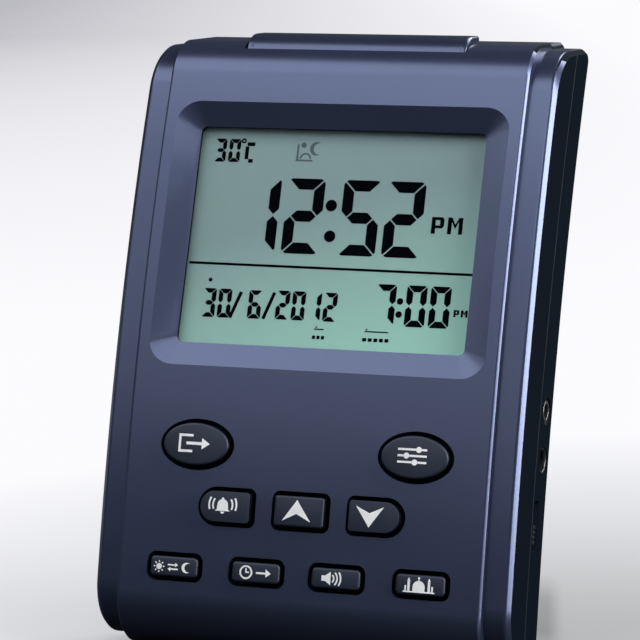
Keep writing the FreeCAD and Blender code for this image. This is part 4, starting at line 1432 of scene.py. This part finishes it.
def floor_finish(colour):
    """Paper with a soft shade beside the base. It fades to a pale ground further out, and rays other than
    the camera's meet it dimmer than it looks."""
    finish = Finish("floor_paper", Roughness=0.9, Specular_IOR_Level=0.1)
    ahead, left = (AHEAD.x, AHEAD.y, 0.0), (-SIDE.x, -SIDE.y, 0.0)
    middle = SIDE * 0.12 - AHEAD * 0.02
    far = finish.away((middle.x, middle.y, 0.0), 0.06, 0.33)
    deep = finish.along(ahead, 0.1, 0.6)
    # The glow greys towards the far left: painted shade in the ground's corner
    far_left = finish.along(left, -0.35, 0.5) * finish.along(ahead, 0.5, 3.3)
    far_left = far_left * (1 - finish.along(left, 0.7, 1.6))
    behind = 1 - finish.along((SIDE.x - 0.12 * AHEAD.x, SIDE.y - 0.12 * AHEAD.y, 0.0), 0.12, 0.35)
    cloud = finish.noise(2.0)
    rays = finish.node("ShaderNodeLightPath").outputs
    unseen = 1 - Value(finish, rays["Is Camera Ray"])
    # For rays other than the camera's the floor is darker near the clock: painted shade in what the clock
    # reflects
    dim = finish.blend(finish.away((0.0, -0.03, 0.0), 0.06, 0.3), toned(colour, 0.06), toned(colour, 0.22))
    beside = (SIDE.x - 0.07 * AHEAD.x, SIDE.y - 0.07 * AHEAD.y, 0.0)
    contact = (1 - finish.away((0.042, 0.045, 0.0), 0.02, 0.05)) * (1 - finish.along(beside, 0.0505, 0.0545))
    paper = finish.blend(contact, colour, toned(colour, 0.58))
    finish.set(Base_Color=finish.blend(unseen, paper, dim), Roughness=0.85 + cloud * 0.1)
    mirrored = (Value(finish, rays["Is Glossy Ray"]) + Value(finish, rays["Is Transmission Ray"])).clamped()
    glowing = ((1 - unseen) * far + mirrored * deep * behind * 0.6).clamped()
    glow = finish.blend(far_left, PALE, (0.50, 0.50, 0.54))
    lit = finish.node("ShaderNodeEmission", {}, {"Color": glow, "Strength": 1.0})
    both = finish.node("ShaderNodeMixShader", {},
                       {0: glowing, 1: finish.shader.outputs[0], 2: lit.outputs[0]})
    finish.feed(finish.output.inputs["Surface"], both.outputs[0])
    return finish.material


def lay_sky(scene):
    """A nearly dark world that looks pale to the camera, where it sees past the floor."""
    scene.world = scene.world or bpy.data.worlds.new("World")
    sky = Nodes(scene.world)
    soft = sky.node("ShaderNodeBackground", {}, {"Color": SOFT_SKY, "Strength": SKY_STRENGTH})
    pale = sky.node("ShaderNodeBackground", {}, {"Color": PALE})
    seen = sky.node("ShaderNodeLightPath").outputs["Is Camera Ray"]
    either = sky.node("ShaderNodeMixShader", {}, {0: seen, 1: soft.outputs[0], 2: pale.outputs[0]})
    sky.node("ShaderNodeOutputWorld", {}, {"Surface": either.outputs[0]})


def set_camera(scene, lens):
    bpy.ops.object.camera_add()
    camera = bpy.context.object
    camera.name = "camera"
    turn = Matrix((SIDE, SIDE.cross(AHEAD), -AHEAD)).transposed().to_4x4()
    camera.matrix_world = Matrix.Translation(EYE) @ turn
    camera.data.lens = lens
    camera.data.sensor_width = 36.0
    camera.data.clip_start = 0.01
    scene.camera = camera


class StageOperator(Making):
    """Lay the floor and set the lamps and the camera"""

    bl_idname = "azan.stage"
    bl_label = "Stage"

    def make(self, sizes):
        scene = bpy.context.scene
        stage = scene.azan_stage
        floor = started("plane", "floor", size=14.0)
        floor.data.materials.append(floor_finish(stage.floor))
        lamp("main_lamp", stage.key_lamp, 2.4, 0.66, -33.0, 53.5, 1.1)
        lamp("side_lamp", stage.side_lamp, 0.28, 1.1, 81.0, 23.0, 1.0, (1.0, 0.967, 0.89))
        lamp("fill_lamp", stage.fill_lamp, 2.1, 0.42, -42.0, 26.0, 1.2)
        lamp("back_lamp", stage.back_lamp, 0.9, 0.8, 158.0, 42.0, 1.3)
        lay_sky(scene)
        set_camera(scene, stage.lens)
        scene.view_settings.view_transform = "Standard"


# ---- Add-on ----

OPERATORS = (ShellsOperator, WindowOperator, DisplayOperator, KeysOperator, SignsOperator, LightBarOperator,
             SocketsOperator, BatteryOperator, SpeakerOperator, FootOperator, ScrewsOperator, InsideOperator,
             StageOperator)


class AzanPanel(bpy.types.Panel):
    """Lists the clock's operators and settings"""

    bl_idname = "AZAN_PT_clock"
    bl_label = "Azan clock"
    bl_space_type = "VIEW_3D"
    bl_region_type = "UI"
    bl_category = "Clock"

    def draw(self, context):
        for kind in OPERATORS:
            self.layout.operator(kind.bl_idname)
        for group in (context.scene.azan_sizes, context.scene.azan_finishes, context.scene.azan_stage):
            column = self.layout.column()
            for key in group.__annotations__:
                column.prop(group, key)


CLASSES = (AzanSizes, AzanFinishes, AzanStage) + OPERATORS + (AzanPanel,)


def register():
    for kind in CLASSES:
        bpy.utils.register_class(kind)
    bpy.types.Scene.azan_sizes = PointerProperty(type=AzanSizes)
    bpy.types.Scene.azan_finishes = PointerProperty(type=AzanFinishes)
    bpy.types.Scene.azan_stage = PointerProperty(type=AzanStage)


def unregister():
    del bpy.types.Scene.azan_stage
    del bpy.types.Scene.azan_finishes
    del bpy.types.Scene.azan_sizes
    for kind in reversed(CLASSES):
        bpy.utils.unregister_class(kind)


def main():
    register()
    for kind in OPERATORS:
        group, name = kind.bl_idname.split(".")
        getattr(getattr(bpy.ops, group), name)()


if __name__ == "__main__":
    main()
